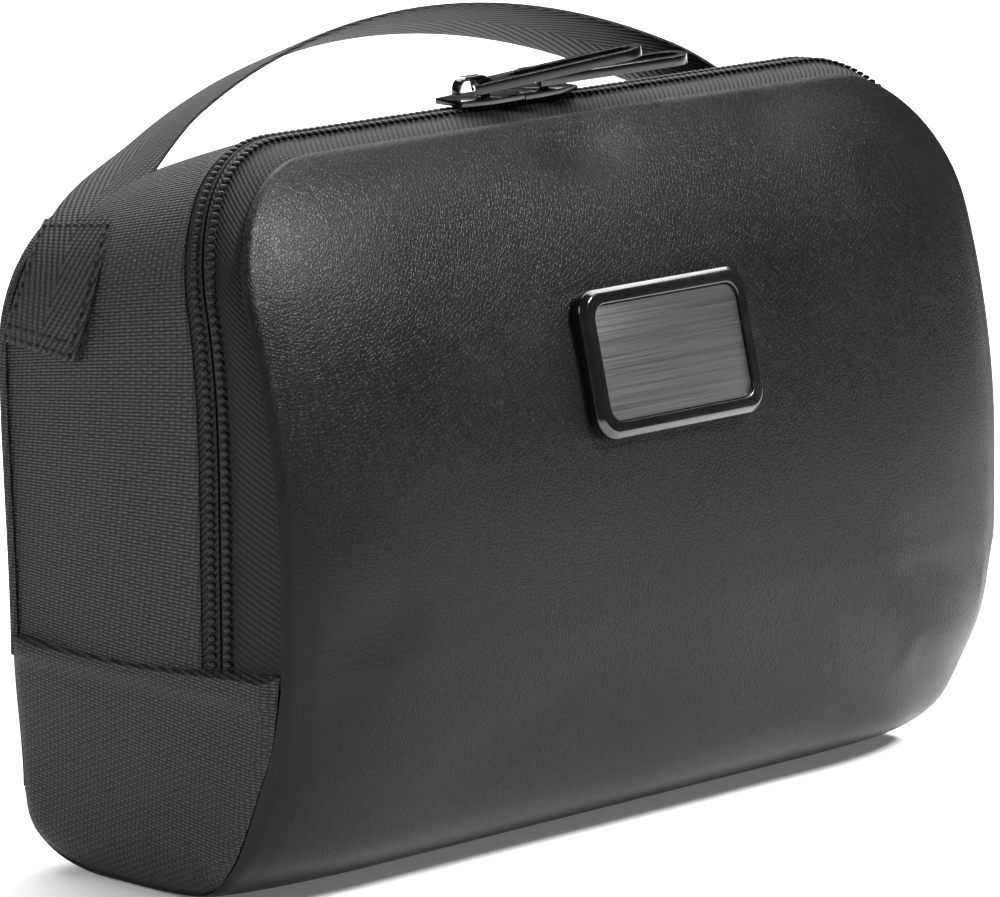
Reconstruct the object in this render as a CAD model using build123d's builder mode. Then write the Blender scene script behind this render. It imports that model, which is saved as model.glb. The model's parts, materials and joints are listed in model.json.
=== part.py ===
from build123d import *
import math
import os
from functools import lru_cache
from typing import NamedTuple

# Hanging toiletry bag, in millimetres. X runs across the bag, the front faces -Y, +Z is up, and the
# origin is the middle of the flat face that the bag stands on.

# ---- Driving dimensions -------------------------------------------------------------------------


class Outline(NamedTuple):
    """The bag's outline on one plane: half widths at the foot, at the flap's hinge and at the top."""

    foot: float
    hinge: float
    shoulder: float
    top: float
    corner: float


half_width = 130.5  # at the back's shoulders, where the bag is widest
ridge_z = 180.5  # top of the zip
hinge_z = 57.0  # height where the zip ends and the front panel folds
seam_y = -55.5  # the leather's seam, at that height
lean = 12.0  # degrees that the seam and the zip lean back
back_y = 40.0  # outer face of the back panel
front_tape = 14.5  # seam of the leather to the middle of the zip
rear_tape = 7.8  # middle of the zip to the edge of the nylon
seam_in = 3.0  # the leather's seam and the zip are this much narrower than the back
chain_in = 2.0
back_in = 3.5  # the back draws in this much from its shoulders to the hinge
foot_in = 3.0  # and every outline this much again to its foot
seam_fall = 3.5  # the leather's top edge lies this far under the zip
back_fall = 19.5  # and the back's top edge this far
seam_width, chain_width = half_width - seam_in, half_width - chain_in
back_width = half_width - back_in
seam_outline = Outline(seam_width - foot_in, seam_width, seam_width, ridge_z - seam_fall, 35.0)
chain_outline = Outline(chain_width - foot_in, chain_width, chain_width, ridge_z, 36.0)
back_outline = Outline(back_width - foot_in, back_width, half_width, ridge_z - back_fall, 33.0)
foot_z = -12.0  # the outlines run on below the bag, and the base cuts them

dome_radius = 723.0  # the front panel swells as part of a ball
dome_rise = 13.5  # how far it stands off its seam in the middle
dome_height = 92.0  # height of the foot of that middle line on the seam's plane
dome_taper = 16.0  # how much the panel narrows over dome_depth as it leaves its seam
dome_depth = 22.0

base_front = -53.1  # where the sloping lower front would meet the ground
base_slope = 8.0  # degrees that the lower front leans out
front_round = 44.0  # radius under the front
back_round = 20.0  # radius under the back

nylon = 1.2  # outer fabric
leather = 1.4
foam = 2.4
lining = 0.6
board = 0.8  # stiffening sheet
layer_gap = 0.2  # between two layers
edge_gap = 0.2  # between two pieces sewn edge to edge
flap_gap = 0.5  # between the flap and the body at the hinge
tape_drop = 0.3  # the tape lies this far under the outer surface
tape = 0.8
coil_height = 2.0
coil_width = 2.7
chain_gap = 0.35  # from the zip's middle plane to each coil and tape
welt_rise = 0.8  # the edge welt stands proud of the nylon
welt_width = 2.0
binding = 1.5  # seam binding inside the bag
binding_width = 6.0
binding_foot = 10.0  # the back's binding starts this far over its fold


strap_width = 25.4
strap = 1.3  # one ply of webbing
strap_y = 24.5
strap_rise = 29.0  # degrees of slope where the strap leaves the shoulder
strap_gap = 0.3  # webbing to nylon
patch_foot = 128.5  # lower edge of the stitched end
patch_head = 158.0  # where the second ply ends
patch_inner = 60.0  # the stitched end is cut from the side wall outside this x
strap_bury = 0.5  # the arch runs this far into the stitched end
arch_floor = 40.0  # the arch is cut from its ring above this height over the ring's middle
handle_x = 97.0  # the handle rocks about a line through x = +-handle_x
rock_gap = 0.8  # between the rocking strap and its stitched end

badge_z = 121.0
badge_width = 59.0
badge_height = 36.5
badge_round = 6.0
badge_rise = 4.2
plate_width = 51.0
plate_height = 28.6
plate_round = 4.0
plate = 1.2
plate_recess = 1.0  # the plate lies this far under the bezel's rim
badge_clear = 0.15
prong_spacing_x = 36.0
prong_spacing_y = 16.0
prong_width = 3.0
prong = 0.8
prong_clear = 0.3  # the prongs' slots are this much larger
bezel_sink = 2.0  # the bezel's block starts this far under the leather, which then shapes its foot
bezel_bevel = 1.4
plate_open = 1.0  # cuts above a face run on this far
backing_gap = 0.6  # the backing plate lies this far behind the board
foam_bed = 1.2  # and the foam is cut away this far behind it
backing_width = 44.0
backing_height = 24.0

slider_length = 20.5
slider_width = 12.4
slider_nose = 9.0  # width of the slider's narrow end
slider_plate = 1.4
slider_middle = -12.5  # x where the two sliders meet
slider_apart = 0.4
slider_lift = 0.4  # top plate to the ridge of the zip
slider_inside = 5.0  # room under that ridge for the tapes and coils
slider_lip = 0.9
slider_lip_rise = 0.7
slider_shoulder = 0.2  # the slider narrows from this share of its half length on
lip_back = 0.4  # its lips are centred this share of its half length behind its middle
slider_post = 0.4
post_inset = 1.0  # the post stands this far in from the slider's end
post_bury = 0.2
post_length = 4.0
crown_width = 2.6
crown_front = 3.2  # pivot to the crown's leg
crown_back = 7.8  # pivot to the crown's free end
crown_height = 5.2
crown = 1.1
crown_leg = 0.8
crown_round = 3.0
crown_mouth = 0.9  # gap under the free end
crown_open = 1.0  # the cut for that gap runs on this far
pivot_height = 2.1  # puller's pivot over the slider's top plate
pivot_radius = 0.9
puller_length = 41.0  # pivot to tip
puller_width = 10.5
eye_long = 3.7  # pivot to the far side of the eye that the crown stands in
eye_wide = 6.6
pivot_bury = 0.6  # the pivot pin runs this far into the eye's sides
puller_round = 1.2  # the puller runs on this far behind its pivot
puller = 2.4
puller_rail = 2.2
puller_slot = 31.0
left_skew, left_tilt = 38.0, 12.0
right_skew, right_tilt = 20.0, 4.3

tab_width = 20.0
tab_length = 16.0
tab = 1.2
hook_bar = 1.5  # radius of the bar in the tab's fold
bar_clear = 0.3
tab_gap = 0.3  # tab to the back panel
tab_height = 3.5  # the bar stands this far over the back's top edge
eye_clear = 1.6  # inside of the hook's eye to the tab's fold
hook_thick = 3.0
hook_wide = 4.2
hook_arm = 2.2
hook_eye = 26.0  # outer width of the hook's eye
hook_shank = 34.0
hook_bend = 12.0  # middle radius of the bend
hook_tip = 9.0
hook_round = 1.2

board_width = 226.0
board_front = -14.0
board_back = 18.0
board_round = 6.0
base_board_thick = 2.2
mesh_top = 128.0
mesh = 0.8
elastic_height = 9.0
elastic = 1.8
pocket_width = 196.0
pocket_foot = 28.0
pocket_top = 118.0
pocket_depth = 3.4
pocket_cloth = 0.6
pocket_round = 12.0
stop_height = 4.0

far = 400.0  # half size of the blocks that part one piece from the next

# ---- Planes and the bag's form ------------------------------------------------------------------

lean_sin = math.sin(math.radians(lean))
lean_cos = math.cos(math.radians(lean))
seam_plane = Plane(origin=(0, seam_y, hinge_z), x_dir=(1, 0, 0), z_dir=(0, -lean_cos, lean_sin))
chain_plane = seam_plane.offset(-front_tape)
nylon_plane = chain_plane.offset(-rear_tape)
back_plane = Plane(origin=(0, back_y, hinge_z), x_dir=(1, 0, 0), z_dir=(0, -1, 0))


def depth_at(plane, z):
    """The Y at which a leaning plane stands at a height."""
    return plane.origin.Y + (z - plane.origin.Z) * plane.y_dir.Y / plane.y_dir.Z


dome_foot = Vector(0, depth_at(seam_plane, dome_height), dome_height)
dome_centre = dome_foot + seam_plane.z_dir * (dome_rise - dome_radius)
slope_tan = math.tan(math.radians(base_slope))
slope_cos = math.cos(math.radians(base_slope))


def outline_face(plane, size, inset):
    """The bag's outline on a plane, drawn in by inset: tapered sides and round top corners."""
    foot, fold, top = (
        (z - plane.origin.Z) / plane.y_dir.Z for z in (foot_z, hinge_z, size.top - inset)
    )
    right = [
        (size.foot - inset, foot),
        (size.hinge - inset, fold),
        (size.shoulder - inset, top),
    ]
    left = [(-x, y) for x, y in reversed(right)]
    with BuildSketch(plane) as face:
        with BuildLine():
            Polyline(*right, *left, close=True)
        make_face()
        fillet(face.vertices().group_by(Axis.Y)[-1], radius=size.corner - inset)
    return face.sketch


@lru_cache(maxsize=None)
def side_form(skin):
    """The bag's side view as a block across X: flat base, rounded under the front and the back."""
    toe = base_front + skin * (1 / slope_cos - slope_tan)
    top = far
    points = [
        (toe, skin),
        (back_y - skin, skin),
        (back_y - skin, top),
        (toe - slope_tan * (top - skin), top),
    ]
    with BuildPart() as form:
        with BuildSketch(Plane.YZ) as face:
            with BuildLine():
                Polyline(*points, close=True)
            make_face()
            lower = face.vertices().group_by(Axis.Y)[0].sort_by(Axis.X)
            fillet(lower[0], radius=front_round - skin)
            back = face.vertices().group_by(Axis.Y)[0].sort_by(Axis.X)[-1]
            fillet(back, radius=back_round - skin)
        extrude(amount=far / 2, both=True)
    return form.part


@lru_cache(maxsize=None)
def bag_form(side, skin):
    """The whole bag as one block, drawn in by side on its outline and by skin on front, base, back."""
    seam_face = outline_face(seam_plane, seam_outline, side)
    chain_face = outline_face(chain_plane, chain_outline, side)
    back_face = outline_face(back_plane, back_outline, side)
    dome_face = outline_face(seam_plane.offset(dome_depth), seam_outline, side + dome_taper)
    with BuildPart() as form:
        loft([chain_face, back_face], ruled=True)
        loft([seam_face, chain_face], ruled=True)
        loft([dome_face, seam_face], ruled=True)
        with Locations(dome_centre):
            Sphere(dome_radius - skin, mode=Mode.INTERSECT)
        add(side_form(skin), mode=Mode.INTERSECT)
    return form.part


def slab(plane, thick):
    """A wide block on the plane's positive side."""
    with BuildPart() as block:
        with BuildSketch(plane):
            Rectangle(2 * far, 2 * far)
        extrude(amount=thick)
    return block.part


def span(x=(-far, far), y=(-far, far), z=(-far, far)):
    """A block between two values on each axis."""
    low = (x[0], y[0], z[0])
    size = (x[1] - x[0], y[1] - y[0], z[1] - z[0])
    with BuildPart() as block:
        with Locations(low):
            Box(*size, align=(Align.MIN, Align.MIN, Align.MIN))
    return block.part


def wall(outer, inner, *regions):
    """What lies between two forms, kept where every region holds."""
    with BuildPart() as piece:
        add(bag_form(*outer))
        add(bag_form(*inner), mode=Mode.SUBTRACT)
        for region in regions:
            add(region, mode=Mode.INTERSECT)
    return piece.part


pieces = {}


def keep(name, part):
    """Labels a finished piece and writes its file."""
    part.label = name
    pieces[name] = part
    export_step(part, f"parts/{name}.step")


os.makedirs("parts", exist_ok=True)

above_hinge = span(z=(hinge_z + edge_gap, far))
below_hinge = span(z=(-far, hinge_z))
flap_zone = span(z=(hinge_z + flap_gap, far))
before_seam = slab(seam_plane.offset(edge_gap / 2), far)
behind_seam = slab(seam_plane.offset(-edge_gap / 2 - far), far)
behind_nylon = slab(nylon_plane.offset(-edge_gap - far), far)
in_front_of_back = span(y=(-far, back_y - nylon - layer_gap))
back_fold = back_round  # height where the leather ends and the back panel starts

foam_in = leather + layer_gap
foam_out = foam_in + foam
lining_in = foam_out + layer_gap
lining_out = lining_in + lining
board_in = foam_out + layer_gap
board_out = board_in + board
flap_lining_in = board_out + layer_gap
flap_lining_out = flap_lining_in + lining

# ---- Outer panels of the body -------------------------------------------------------------------

with BuildPart() as gusset_band:
    add(wall((0, 0), (nylon, 0), above_hinge, behind_nylon, in_front_of_back))
keep("gusset_band", gusset_band.part)

for side_name, reach in (("left", (-far, 0)), ("right", (0, far))):
    with BuildPart() as lower_gusset:
        add(wall((0, 0), (nylon, 0), below_hinge, behind_seam, in_front_of_back, span(x=reach)))
    keep(f"lower_gusset_{side_name}", lower_gusset.part)

with BuildPart() as base_leather:
    add(wall((nylon + layer_gap, 0), (nylon + layer_gap, leather), below_hinge, behind_seam))
    add(wall((0, 0), (leather, leather), below_hinge, slab(seam_plane.offset(-edge_gap / 2), far)))
    add(span(y=(back_y - nylon - layer_gap, far), z=(back_fold, far)), mode=Mode.SUBTRACT)
keep("base_leather", base_leather.part)

with BuildPart() as back_panel:
    add(bag_form(0, 0))
    back_zone = span(y=(back_y - nylon, far), z=(back_fold + edge_gap, far))
    add(back_zone, mode=Mode.INTERSECT)
keep("back_panel", back_panel.part)

with BuildPart() as edge_welt:
    welt_zone = span(y=(back_y - welt_width, back_y - layer_gap), z=(back_fold + edge_gap, far))
    add(wall((-layer_gap - welt_rise, 0), (-layer_gap, 0), welt_zone))
keep("back_edge_welt", edge_welt.part)

# ---- Padding, boards and lining of the body -----------------------------------------------------

with BuildPart() as gusset_foam:
    foam_zone = span(y=(-far, back_y - lining_in))
    add(wall((foam_in, lining_in), (foam_out, 0), behind_nylon, foam_zone))
keep("gusset_foam", gusset_foam.part)

with BuildPart() as back_foam:
    add(bag_form(foam_in, foam_in))
    add(span(y=(back_y - foam_out, far), z=(back_fold, far)), mode=Mode.INTERSECT)
keep("back_foam", back_foam.part)

with BuildPart() as lower_front_foam:
    add(wall((foam_out, foam_in), (foam_out, foam_out), span(y=(-far, board_front), z=(-far, hinge_z))))
keep("lower_front_foam", lower_front_foam.part)

with BuildPart() as base_board:
    board_depth = board_back - board_front - edge_gap
    with BuildSketch(Plane.XY.offset(foam_in)):
        with Locations((0, (board_front + board_back + edge_gap) / 2)):
            RectangleRounded(board_width, board_depth, board_round)
    extrude(amount=base_board_thick)
keep("base_board", base_board.part)

with BuildPart() as mouth:
    add(slab(nylon_plane.offset(-edge_gap), far))
    add(span(z=(hinge_z, far)), mode=Mode.INTERSECT)

with BuildPart() as body_lining:
    add(bag_form(lining_in, lining_in))
    add(bag_form(lining_out, lining_out), mode=Mode.SUBTRACT)
    add(mouth.part, mode=Mode.SUBTRACT)
keep("body_lining", body_lining.part)

with BuildPart() as back_seam_binding:
    binding_back = back_y - lining_out - layer_gap
    binding_zone = span(y=(binding_back - binding_width, binding_back), z=(back_fold + binding_foot, far))
    bound = lining_out + layer_gap
    add(wall((bound, 0), (bound + binding, 0), binding_zone))
keep("back_seam_binding", back_seam_binding.part)

# ---- Pocket inside the back ---------------------------------------------------------------------

pocket_back = back_y - lining_out - layer_gap
pocket_plane = Plane(
    origin=(0, pocket_back, (pocket_foot + pocket_top) / 2), x_dir=(1, 0, 0), z_dir=(0, -1, 0)
)
pocket_height = pocket_top - pocket_foot
with BuildPart() as back_pocket:
    with BuildSketch(pocket_plane):
        RectangleRounded(pocket_width, pocket_height, pocket_round)
    extrude(amount=pocket_depth + pocket_cloth)
    with BuildSketch(pocket_plane):
        with Locations((0, pocket_cloth)):
            RectangleRounded(
                pocket_width - 2 * pocket_cloth,
                pocket_height,
                pocket_round - pocket_cloth,
            )
    extrude(amount=pocket_depth, mode=Mode.SUBTRACT)
    add(span(z=(pocket_top - pocket_round, far)), mode=Mode.SUBTRACT)
keep("back_slip_pocket", back_pocket.part)

with BuildPart() as pocket_elastic:
    edge_plane = pocket_plane.offset(pocket_depth + pocket_cloth / 2 - elastic / 2)
    edge_z = pocket_height / 2 - pocket_round + edge_gap + elastic_height / 2
    with BuildSketch(edge_plane):
        with Locations((0, edge_z)):
            Rectangle(pocket_width, elastic_height)
    extrude(amount=elastic)
keep("back_pocket_elastic", pocket_elastic.part)

# ---- Zip ----------------------------------------------------------------------------------------

tape_out = tape_drop + tape
coil_in = tape_out + layer_gap / 2
coil_out = coil_in + coil_height
behind_chain = chain_plane.offset(-chain_gap)
before_chain = chain_plane.offset(chain_gap)

with BuildPart() as zip_tape_rear:
    rear_zone = slab(behind_chain.offset(-(rear_tape - chain_gap)), rear_tape - chain_gap)
    add(wall((tape_drop, 0), (tape_out, 0), rear_zone, above_hinge))
keep("zip_tape_rear", zip_tape_rear.part)

with BuildPart() as zip_coil_rear:
    rear_coil_zone = slab(behind_chain.offset(-coil_width), coil_width)
    add(wall((coil_in, 0), (coil_out, 0), rear_coil_zone, above_hinge))
keep("zip_coil_rear", zip_coil_rear.part)

with BuildPart() as zip_tape_front:
    front_zone = slab(before_chain, front_tape - chain_gap - edge_gap / 2)
    add(wall((tape_drop, 0), (tape_out, 0), front_zone, flap_zone))
keep("zip_tape_front", zip_tape_front.part)

with BuildPart() as zip_coil_front:
    front_coil_zone = slab(before_chain, coil_width)
    add(wall((coil_in, 0), (coil_out, 0), front_coil_zone, flap_zone))
keep("zip_coil_front", zip_coil_front.part)

with BuildPart() as zip_stops:
    stop_depth = rear_tape - chain_gap - coil_width - edge_gap
    stop_zone = slab(behind_chain.offset(chain_gap - rear_tape), stop_depth)
    stop_span = span(z=(hinge_z + edge_gap, hinge_z + edge_gap + stop_height))
    add(wall((coil_in, 0), (coil_out, 0), stop_zone, stop_span))
keep("zip_end_stops", zip_stops.part)

# ---- Front flap ---------------------------------------------------------------------------------

badge_sine = (badge_z - dome_centre.Z) / dome_radius
badge_cosine = math.sqrt(1 - badge_sine**2)
badge_normal = Vector(0, -badge_cosine, badge_sine)
badge_plane = Plane(
    origin=dome_centre + badge_normal * dome_radius, x_dir=(1, 0, 0), z_dir=badge_normal
)
prong_grid = (prong_spacing_x, prong_spacing_y, 2, 2)
prong_reach = leather + layer_gap + board + layer_gap

with BuildPart() as front_leather:
    add(wall((0, 0), (leather, leather), before_seam, flap_zone))
    with BuildSketch(badge_plane.offset(-2 * foam_in)):
        with GridLocations(*prong_grid):
            Rectangle(prong_width + prong_clear, prong + prong_clear)
    extrude(amount=4 * foam_in, mode=Mode.SUBTRACT)
keep("front_leather", front_leather.part)

with BuildPart() as front_foam:
    add(wall((foam_in, foam_in), (foam_out, foam_out), before_seam, flap_zone))
    with BuildSketch(badge_plane.offset(-prong_reach - foam_bed)):
        Rectangle(backing_width + 2 * layer_gap, backing_height + 2 * layer_gap)
    extrude(amount=foam_out, mode=Mode.SUBTRACT)
keep("front_foam", front_foam.part)

with BuildPart() as front_board:
    add(wall((board_in, board_in), (board_out, board_out), before_seam, flap_zone))
keep("front_board", front_board.part)

with BuildPart() as front_lining:
    add(
        wall(
            (flap_lining_in, flap_lining_in),
            (flap_lining_out, flap_lining_out),
            before_seam,
            flap_zone,
        )
    )
keep("front_lining", front_lining.part)

with BuildPart() as front_seam_binding:
    rim_zone = slab(seam_plane.offset(-binding_width - edge_gap / 2), binding_width)
    add(wall((coil_in, 0), (coil_in + binding, 0), rim_zone, flap_zone))
keep("front_seam_binding", front_seam_binding.part)

mesh_inset = flap_lining_out + layer_gap
mesh_plane = seam_plane.offset(edge_gap / 2)
with BuildPart() as mesh_pocket:
    add(outline_face(mesh_plane, seam_outline, mesh_inset))
    extrude(amount=mesh, dir=-seam_plane.z_dir)
    add(span(z=(hinge_z + flap_gap, mesh_top)), mode=Mode.INTERSECT)
keep("front_mesh_pocket", mesh_pocket.part)

with BuildPart() as mesh_elastic:
    add(outline_face(mesh_plane, seam_outline, mesh_inset))
    extrude(amount=elastic, dir=-seam_plane.z_dir)
    elastic_zone = span(z=(mesh_top + edge_gap, mesh_top + edge_gap + elastic_height))
    add(elastic_zone, mode=Mode.INTERSECT)
keep("mesh_pocket_elastic", mesh_elastic.part)

# ---- Badge --------------------------------------------------------------------------------------

with BuildPart() as badge_bezel:
    with BuildSketch(badge_plane.offset(-bezel_sink)):
        RectangleRounded(badge_width, badge_height, badge_round)
    extrude(amount=badge_rise + bezel_sink)
    bezel_rim = badge_bezel.faces().sort_by(Axis(badge_plane.origin, badge_normal))[-1]
    chamfer(bezel_rim.edges(), length=bezel_bevel)
    with BuildSketch(badge_plane.offset(badge_rise - plate_recess - plate)):
        RectangleRounded(plate_width, plate_height, plate_round)
    extrude(amount=plate_recess + plate + plate_open, mode=Mode.SUBTRACT)
    with Locations(dome_centre):
        Sphere(dome_radius + badge_clear, mode=Mode.SUBTRACT)
    with BuildSketch(badge_plane.offset(-prong_reach)):
        with GridLocations(*prong_grid):
            Rectangle(prong_width, prong)
    extrude(amount=prong_reach + plate_open)
keep("badge_bezel", badge_bezel.part)

with BuildPart() as badge_plate:
    with BuildSketch(badge_plane.offset(badge_rise - plate_recess - plate)):
        RectangleRounded(
            plate_width - 2 * badge_clear,
            plate_height - 2 * badge_clear,
            plate_round - badge_clear,
        )
    extrude(amount=plate)
keep("badge_plate", badge_plate.part)

with BuildPart() as badge_backing:
    with BuildSketch(badge_plane.offset(-prong_reach - backing_gap)):
        Rectangle(backing_width, backing_height)
        with GridLocations(*prong_grid):
            Rectangle(prong_width + prong_clear, prong + prong_clear, mode=Mode.SUBTRACT)
    extrude(amount=board)
keep("badge_backing_plate", badge_backing.part)

# ---- Handle -------------------------------------------------------------------------------------

shoulder_y = depth_at(chain_plane, chain_outline.top - chain_outline.corner / 2)
strap_share = (strap_y - shoulder_y) / (back_y - shoulder_y)


def between(front, back):
    """A size of the bag's outline under the strap."""
    return front + (back - front) * strap_share


shoulder_radius = between(chain_outline.corner, back_outline.corner)
shoulder_x = between(chain_outline.shoulder, back_outline.shoulder) - shoulder_radius
shoulder_z = between(chain_outline.top, back_outline.top) - shoulder_radius
rise_sin = math.sin(math.radians(strap_rise))
rise_cos = math.cos(math.radians(strap_rise))
strap_under = shoulder_radius + strap_gap
leave_x = shoulder_x + strap_under * rise_sin
leave_z = shoulder_z + strap_under * rise_cos
arch_radius = leave_x / rise_sin
ridge_y = depth_at(chain_plane, ridge_z)
strap_roll = math.atan(back_fall / (back_y - ridge_y))
strap_half_y = strap_width / 2 * math.cos(strap_roll)
arch_normal = (0, -math.cos(strap_roll), math.sin(strap_roll))
leave_plane = Plane(origin=(0, strap_y, leave_z), x_dir=(1, 0, 0), z_dir=arch_normal)
arch_plane = leave_plane.shift_origin(leave_plane.origin - leave_plane.y_dir * arch_radius * rise_cos)


def arch_band(low_x, high_x):
    """The arch of webbing between two values of x, leaning back square to the bag's sloping top."""
    with BuildPart() as band:
        with BuildSketch(arch_plane):
            Circle(arch_radius + strap)
            Circle(arch_radius, mode=Mode.SUBTRACT)
        extrude(amount=strap_width / 2, both=True)
        band_span = span(x=(low_x, high_x), z=(arch_plane.origin.Z + arch_floor, far))
        add(band_span, mode=Mode.INTERSECT)
    return band.part


with BuildPart() as handle_strap:
    add(arch_band(-handle_x + rock_gap / 2, handle_x - rock_gap / 2))
keep("handle_strap", handle_strap.part)

strap_slab = span(y=(strap_y - strap_half_y, strap_y + strap_half_y))
for side_name, sign in (("left", -1), ("right", 1)):
    leave_point = (sign * leave_x, strap_y, leave_z)
    below_leave = slab(
        Plane(origin=leave_point, x_dir=(0, 1, 0), z_dir=(sign * rise_cos, 0, -rise_sin)), far / 2
    )
    side_span = sorted((sign * patch_inner, sign * far))
    single = wall(
        (-strap_gap - strap, 0),
        (-strap_gap, 0),
        strap_slab,
        below_leave,
        span(x=side_span, z=(patch_foot, far)),
    )
    double = wall(
        (-strap_gap - 2 * strap, 0),
        (-strap_gap - strap, 0),
        strap_slab,
        below_leave,
        span(x=side_span, z=(patch_foot, patch_head)),
    )
    stub = arch_band(*sorted((sign * (handle_x + rock_gap / 2), sign * (leave_x + strap_bury))))
    with BuildPart() as anchor:
        add(single)
        add(double)
        add(stub)
        add(bag_form(-strap_gap, 0), mode=Mode.SUBTRACT)
    keep(f"handle_end_{side_name}", anchor.part)

# ---- Sliders and pullers ------------------------------------------------------------------------

plate_z = ridge_z + slider_lift
pivot_z = plate_z + slider_plate + pivot_height

for side_name, sign, skew, tilt in (
    ("left", -1, left_skew, left_tilt),
    ("right", 1, right_skew, right_tilt),
):
    centre_x = slider_middle + sign * slider_length / 2
    half = slider_length / 2 - slider_apart / 2
    with BuildPart() as body:
        for low in (plate_z, ridge_z - slider_inside - slider_plate):
            with BuildSketch(Plane.XY.offset(low)):
                with BuildLine():
                    Polyline(
                        (centre_x - sign * half, ridge_y - slider_width / 2),
                        (centre_x + sign * half * slider_shoulder, ridge_y - slider_width / 2),
                        (centre_x + sign * half, ridge_y - slider_nose / 2),
                        (centre_x + sign * half, ridge_y + slider_nose / 2),
                        (centre_x + sign * half * slider_shoulder, ridge_y + slider_width / 2),
                        (centre_x - sign * half, ridge_y + slider_width / 2),
                        close=True,
                    )
                make_face()
            extrude(amount=slider_plate)
        for lip_sign in (-1, 1):
            lip_y = ridge_y + lip_sign * (slider_width - slider_lip) / 2
            with BuildSketch(Plane.XY.offset(ridge_z - slider_inside)):
                with Locations((centre_x - sign * half * lip_back, lip_y)):
                    Rectangle(half, slider_lip)
            extrude(amount=slider_lip_rise)
        post_x = centre_x - sign * (half - post_length / 2 - post_inset)
        post_low = (ridge_z - slider_inside - post_bury - chain_plane.origin.Z) / lean_cos
        post_high = (plate_z + post_bury - chain_plane.origin.Z) / lean_cos
        with BuildSketch(chain_plane):
            with Locations((post_x, (post_low + post_high) / 2)):
                Rectangle(post_length, post_high - post_low)
        extrude(amount=slider_post / 2, both=True)
    keep(f"slider_body_{side_name}", body.part)

    crown_base = plate_z + slider_plate
    crown_span = crown_front + crown_back
    crown_middle = centre_x + (crown_front - crown_back) / 2
    with BuildSketch(Plane.XZ) as crown_hollow:
        with Locations((crown_middle, crown_base + (crown_height - crown) / 2)):
            Rectangle(crown_span - 2 * crown_leg, crown_height - crown)
        fillet(crown_hollow.vertices().group_by(Axis.Y)[-1], radius=crown_round - crown_leg)
    with BuildPart() as bridge:
        with BuildSketch(Plane.XZ.offset(-ridge_y)) as profile:
            with Locations((crown_middle, crown_base + crown_height / 2)):
                Rectangle(crown_span, crown_height)
            fillet(profile.vertices().group_by(Axis.Y)[-1], radius=crown_round)
            add(crown_hollow.sketch_local, mode=Mode.SUBTRACT)
            with Locations((centre_x - crown_back, crown_base)):
                Rectangle(2 * crown_leg + crown_open, 2 * crown_mouth, mode=Mode.SUBTRACT)
        extrude(amount=crown_width / 2, both=True)
    keep(f"slider_crown_{side_name}", bridge.part)

    skew_cos = math.cos(math.radians(skew))
    skew_sin = math.sin(math.radians(skew))
    tilt_cos = math.cos(math.radians(tilt))
    tilt_sin = math.sin(math.radians(tilt))
    along = Vector(skew_cos * tilt_cos, -skew_sin * tilt_cos, tilt_sin)
    upward = Vector(-skew_cos * tilt_sin, skew_sin * tilt_sin, tilt_cos)
    puller_plane = Plane(origin=(centre_x, ridge_y, pivot_z), x_dir=along, z_dir=upward)
    slot_wide = puller_width - 2 * puller_rail
    with BuildPart() as pull:
        with BuildSketch(puller_plane.offset(-puller / 2)):
            with Locations((puller_length / 2 - puller_round, 0)):
                Rectangle(puller_length, puller_width)
            with Locations((puller_length, 0)):
                Rectangle(puller_width, puller_width, mode=Mode.SUBTRACT)
            with Locations((puller_length - puller_width / 2, 0)):
                Circle(puller_width / 2)
            with Locations((puller_length - puller_rail - puller_slot / 2, 0)):
                SlotOverall(puller_slot, slot_wide, mode=Mode.SUBTRACT)
            with Locations((eye_long / 2 - puller_round, 0)):
                Rectangle(eye_long + 2 * puller_round, eye_wide, mode=Mode.SUBTRACT)
        extrude(amount=puller)
        with BuildSketch(Plane(origin=puller_plane.origin, x_dir=along, z_dir=puller_plane.y_dir)):
            Circle(pivot_radius)
        extrude(amount=eye_wide / 2 + pivot_bury, both=True)
    keep(f"puller_{side_name}", pull.part)

# ---- Hanging hook -------------------------------------------------------------------------------

bar_y = back_y + tab_gap + tab + bar_clear + hook_bar
bar_z = back_outline.top + tab_height
fold_radius = hook_bar + bar_clear
with BuildPart() as hook_tab:
    with BuildSketch(Plane.YZ):
        with Locations((bar_y, bar_z)):
            Circle(fold_radius + tab)
        with Locations((back_y + tab_gap + tab / 2, bar_z - tab_length / 2)):
            Rectangle(tab, tab_length)
        with Locations((bar_y, bar_z)):
            Circle(fold_radius, mode=Mode.SUBTRACT)
    extrude(amount=tab_width / 2, both=True)
keep("hook_tab", hook_tab.part)

hook_plane = Plane(origin=(0, bar_y, bar_z), x_dir=(1, 0, 0), z_dir=(0, -1, 0))
eye_inner = fold_radius + tab + eye_clear
with BuildPart() as hook:
    with BuildSketch(Plane.YZ):
        with Locations((bar_y, bar_z)):
            Circle(hook_bar)
    extrude(amount=hook_eye / 2, both=True)
    with BuildSketch(hook_plane.offset(-hook_thick / 2)):
        for sign in (-1, 1):
            with Locations((sign * (hook_eye - hook_arm) / 2, -eye_inner / 2)):
                Rectangle(hook_arm, eye_inner + hook_thick)
        with Locations((0, -eye_inner - hook_wide / 2)):
            Rectangle(hook_eye, hook_wide)
    extrude(amount=hook_thick)
    shank_top = -eye_inner - hook_wide / 2
    shank_foot = shank_top - hook_shank
    with BuildLine(hook_plane) as hook_line:
        shank_line = Line((0, shank_top), (0, shank_foot))
        bend_line = CenterArc((hook_bend, shank_foot), hook_bend, 180, 180)
        Line(bend_line @ 1, (2 * hook_bend, shank_foot + hook_tip))
    with BuildSketch(Plane(origin=hook_line.wire() @ 0, x_dir=(1, 0, 0), z_dir=(0, 0, -1))):
        RectangleRounded(hook_wide, hook_thick, hook_round)
    sweep(path=hook_line.wire())
keep("hook", hook.part)

print(len(pieces), "pieces")
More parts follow.
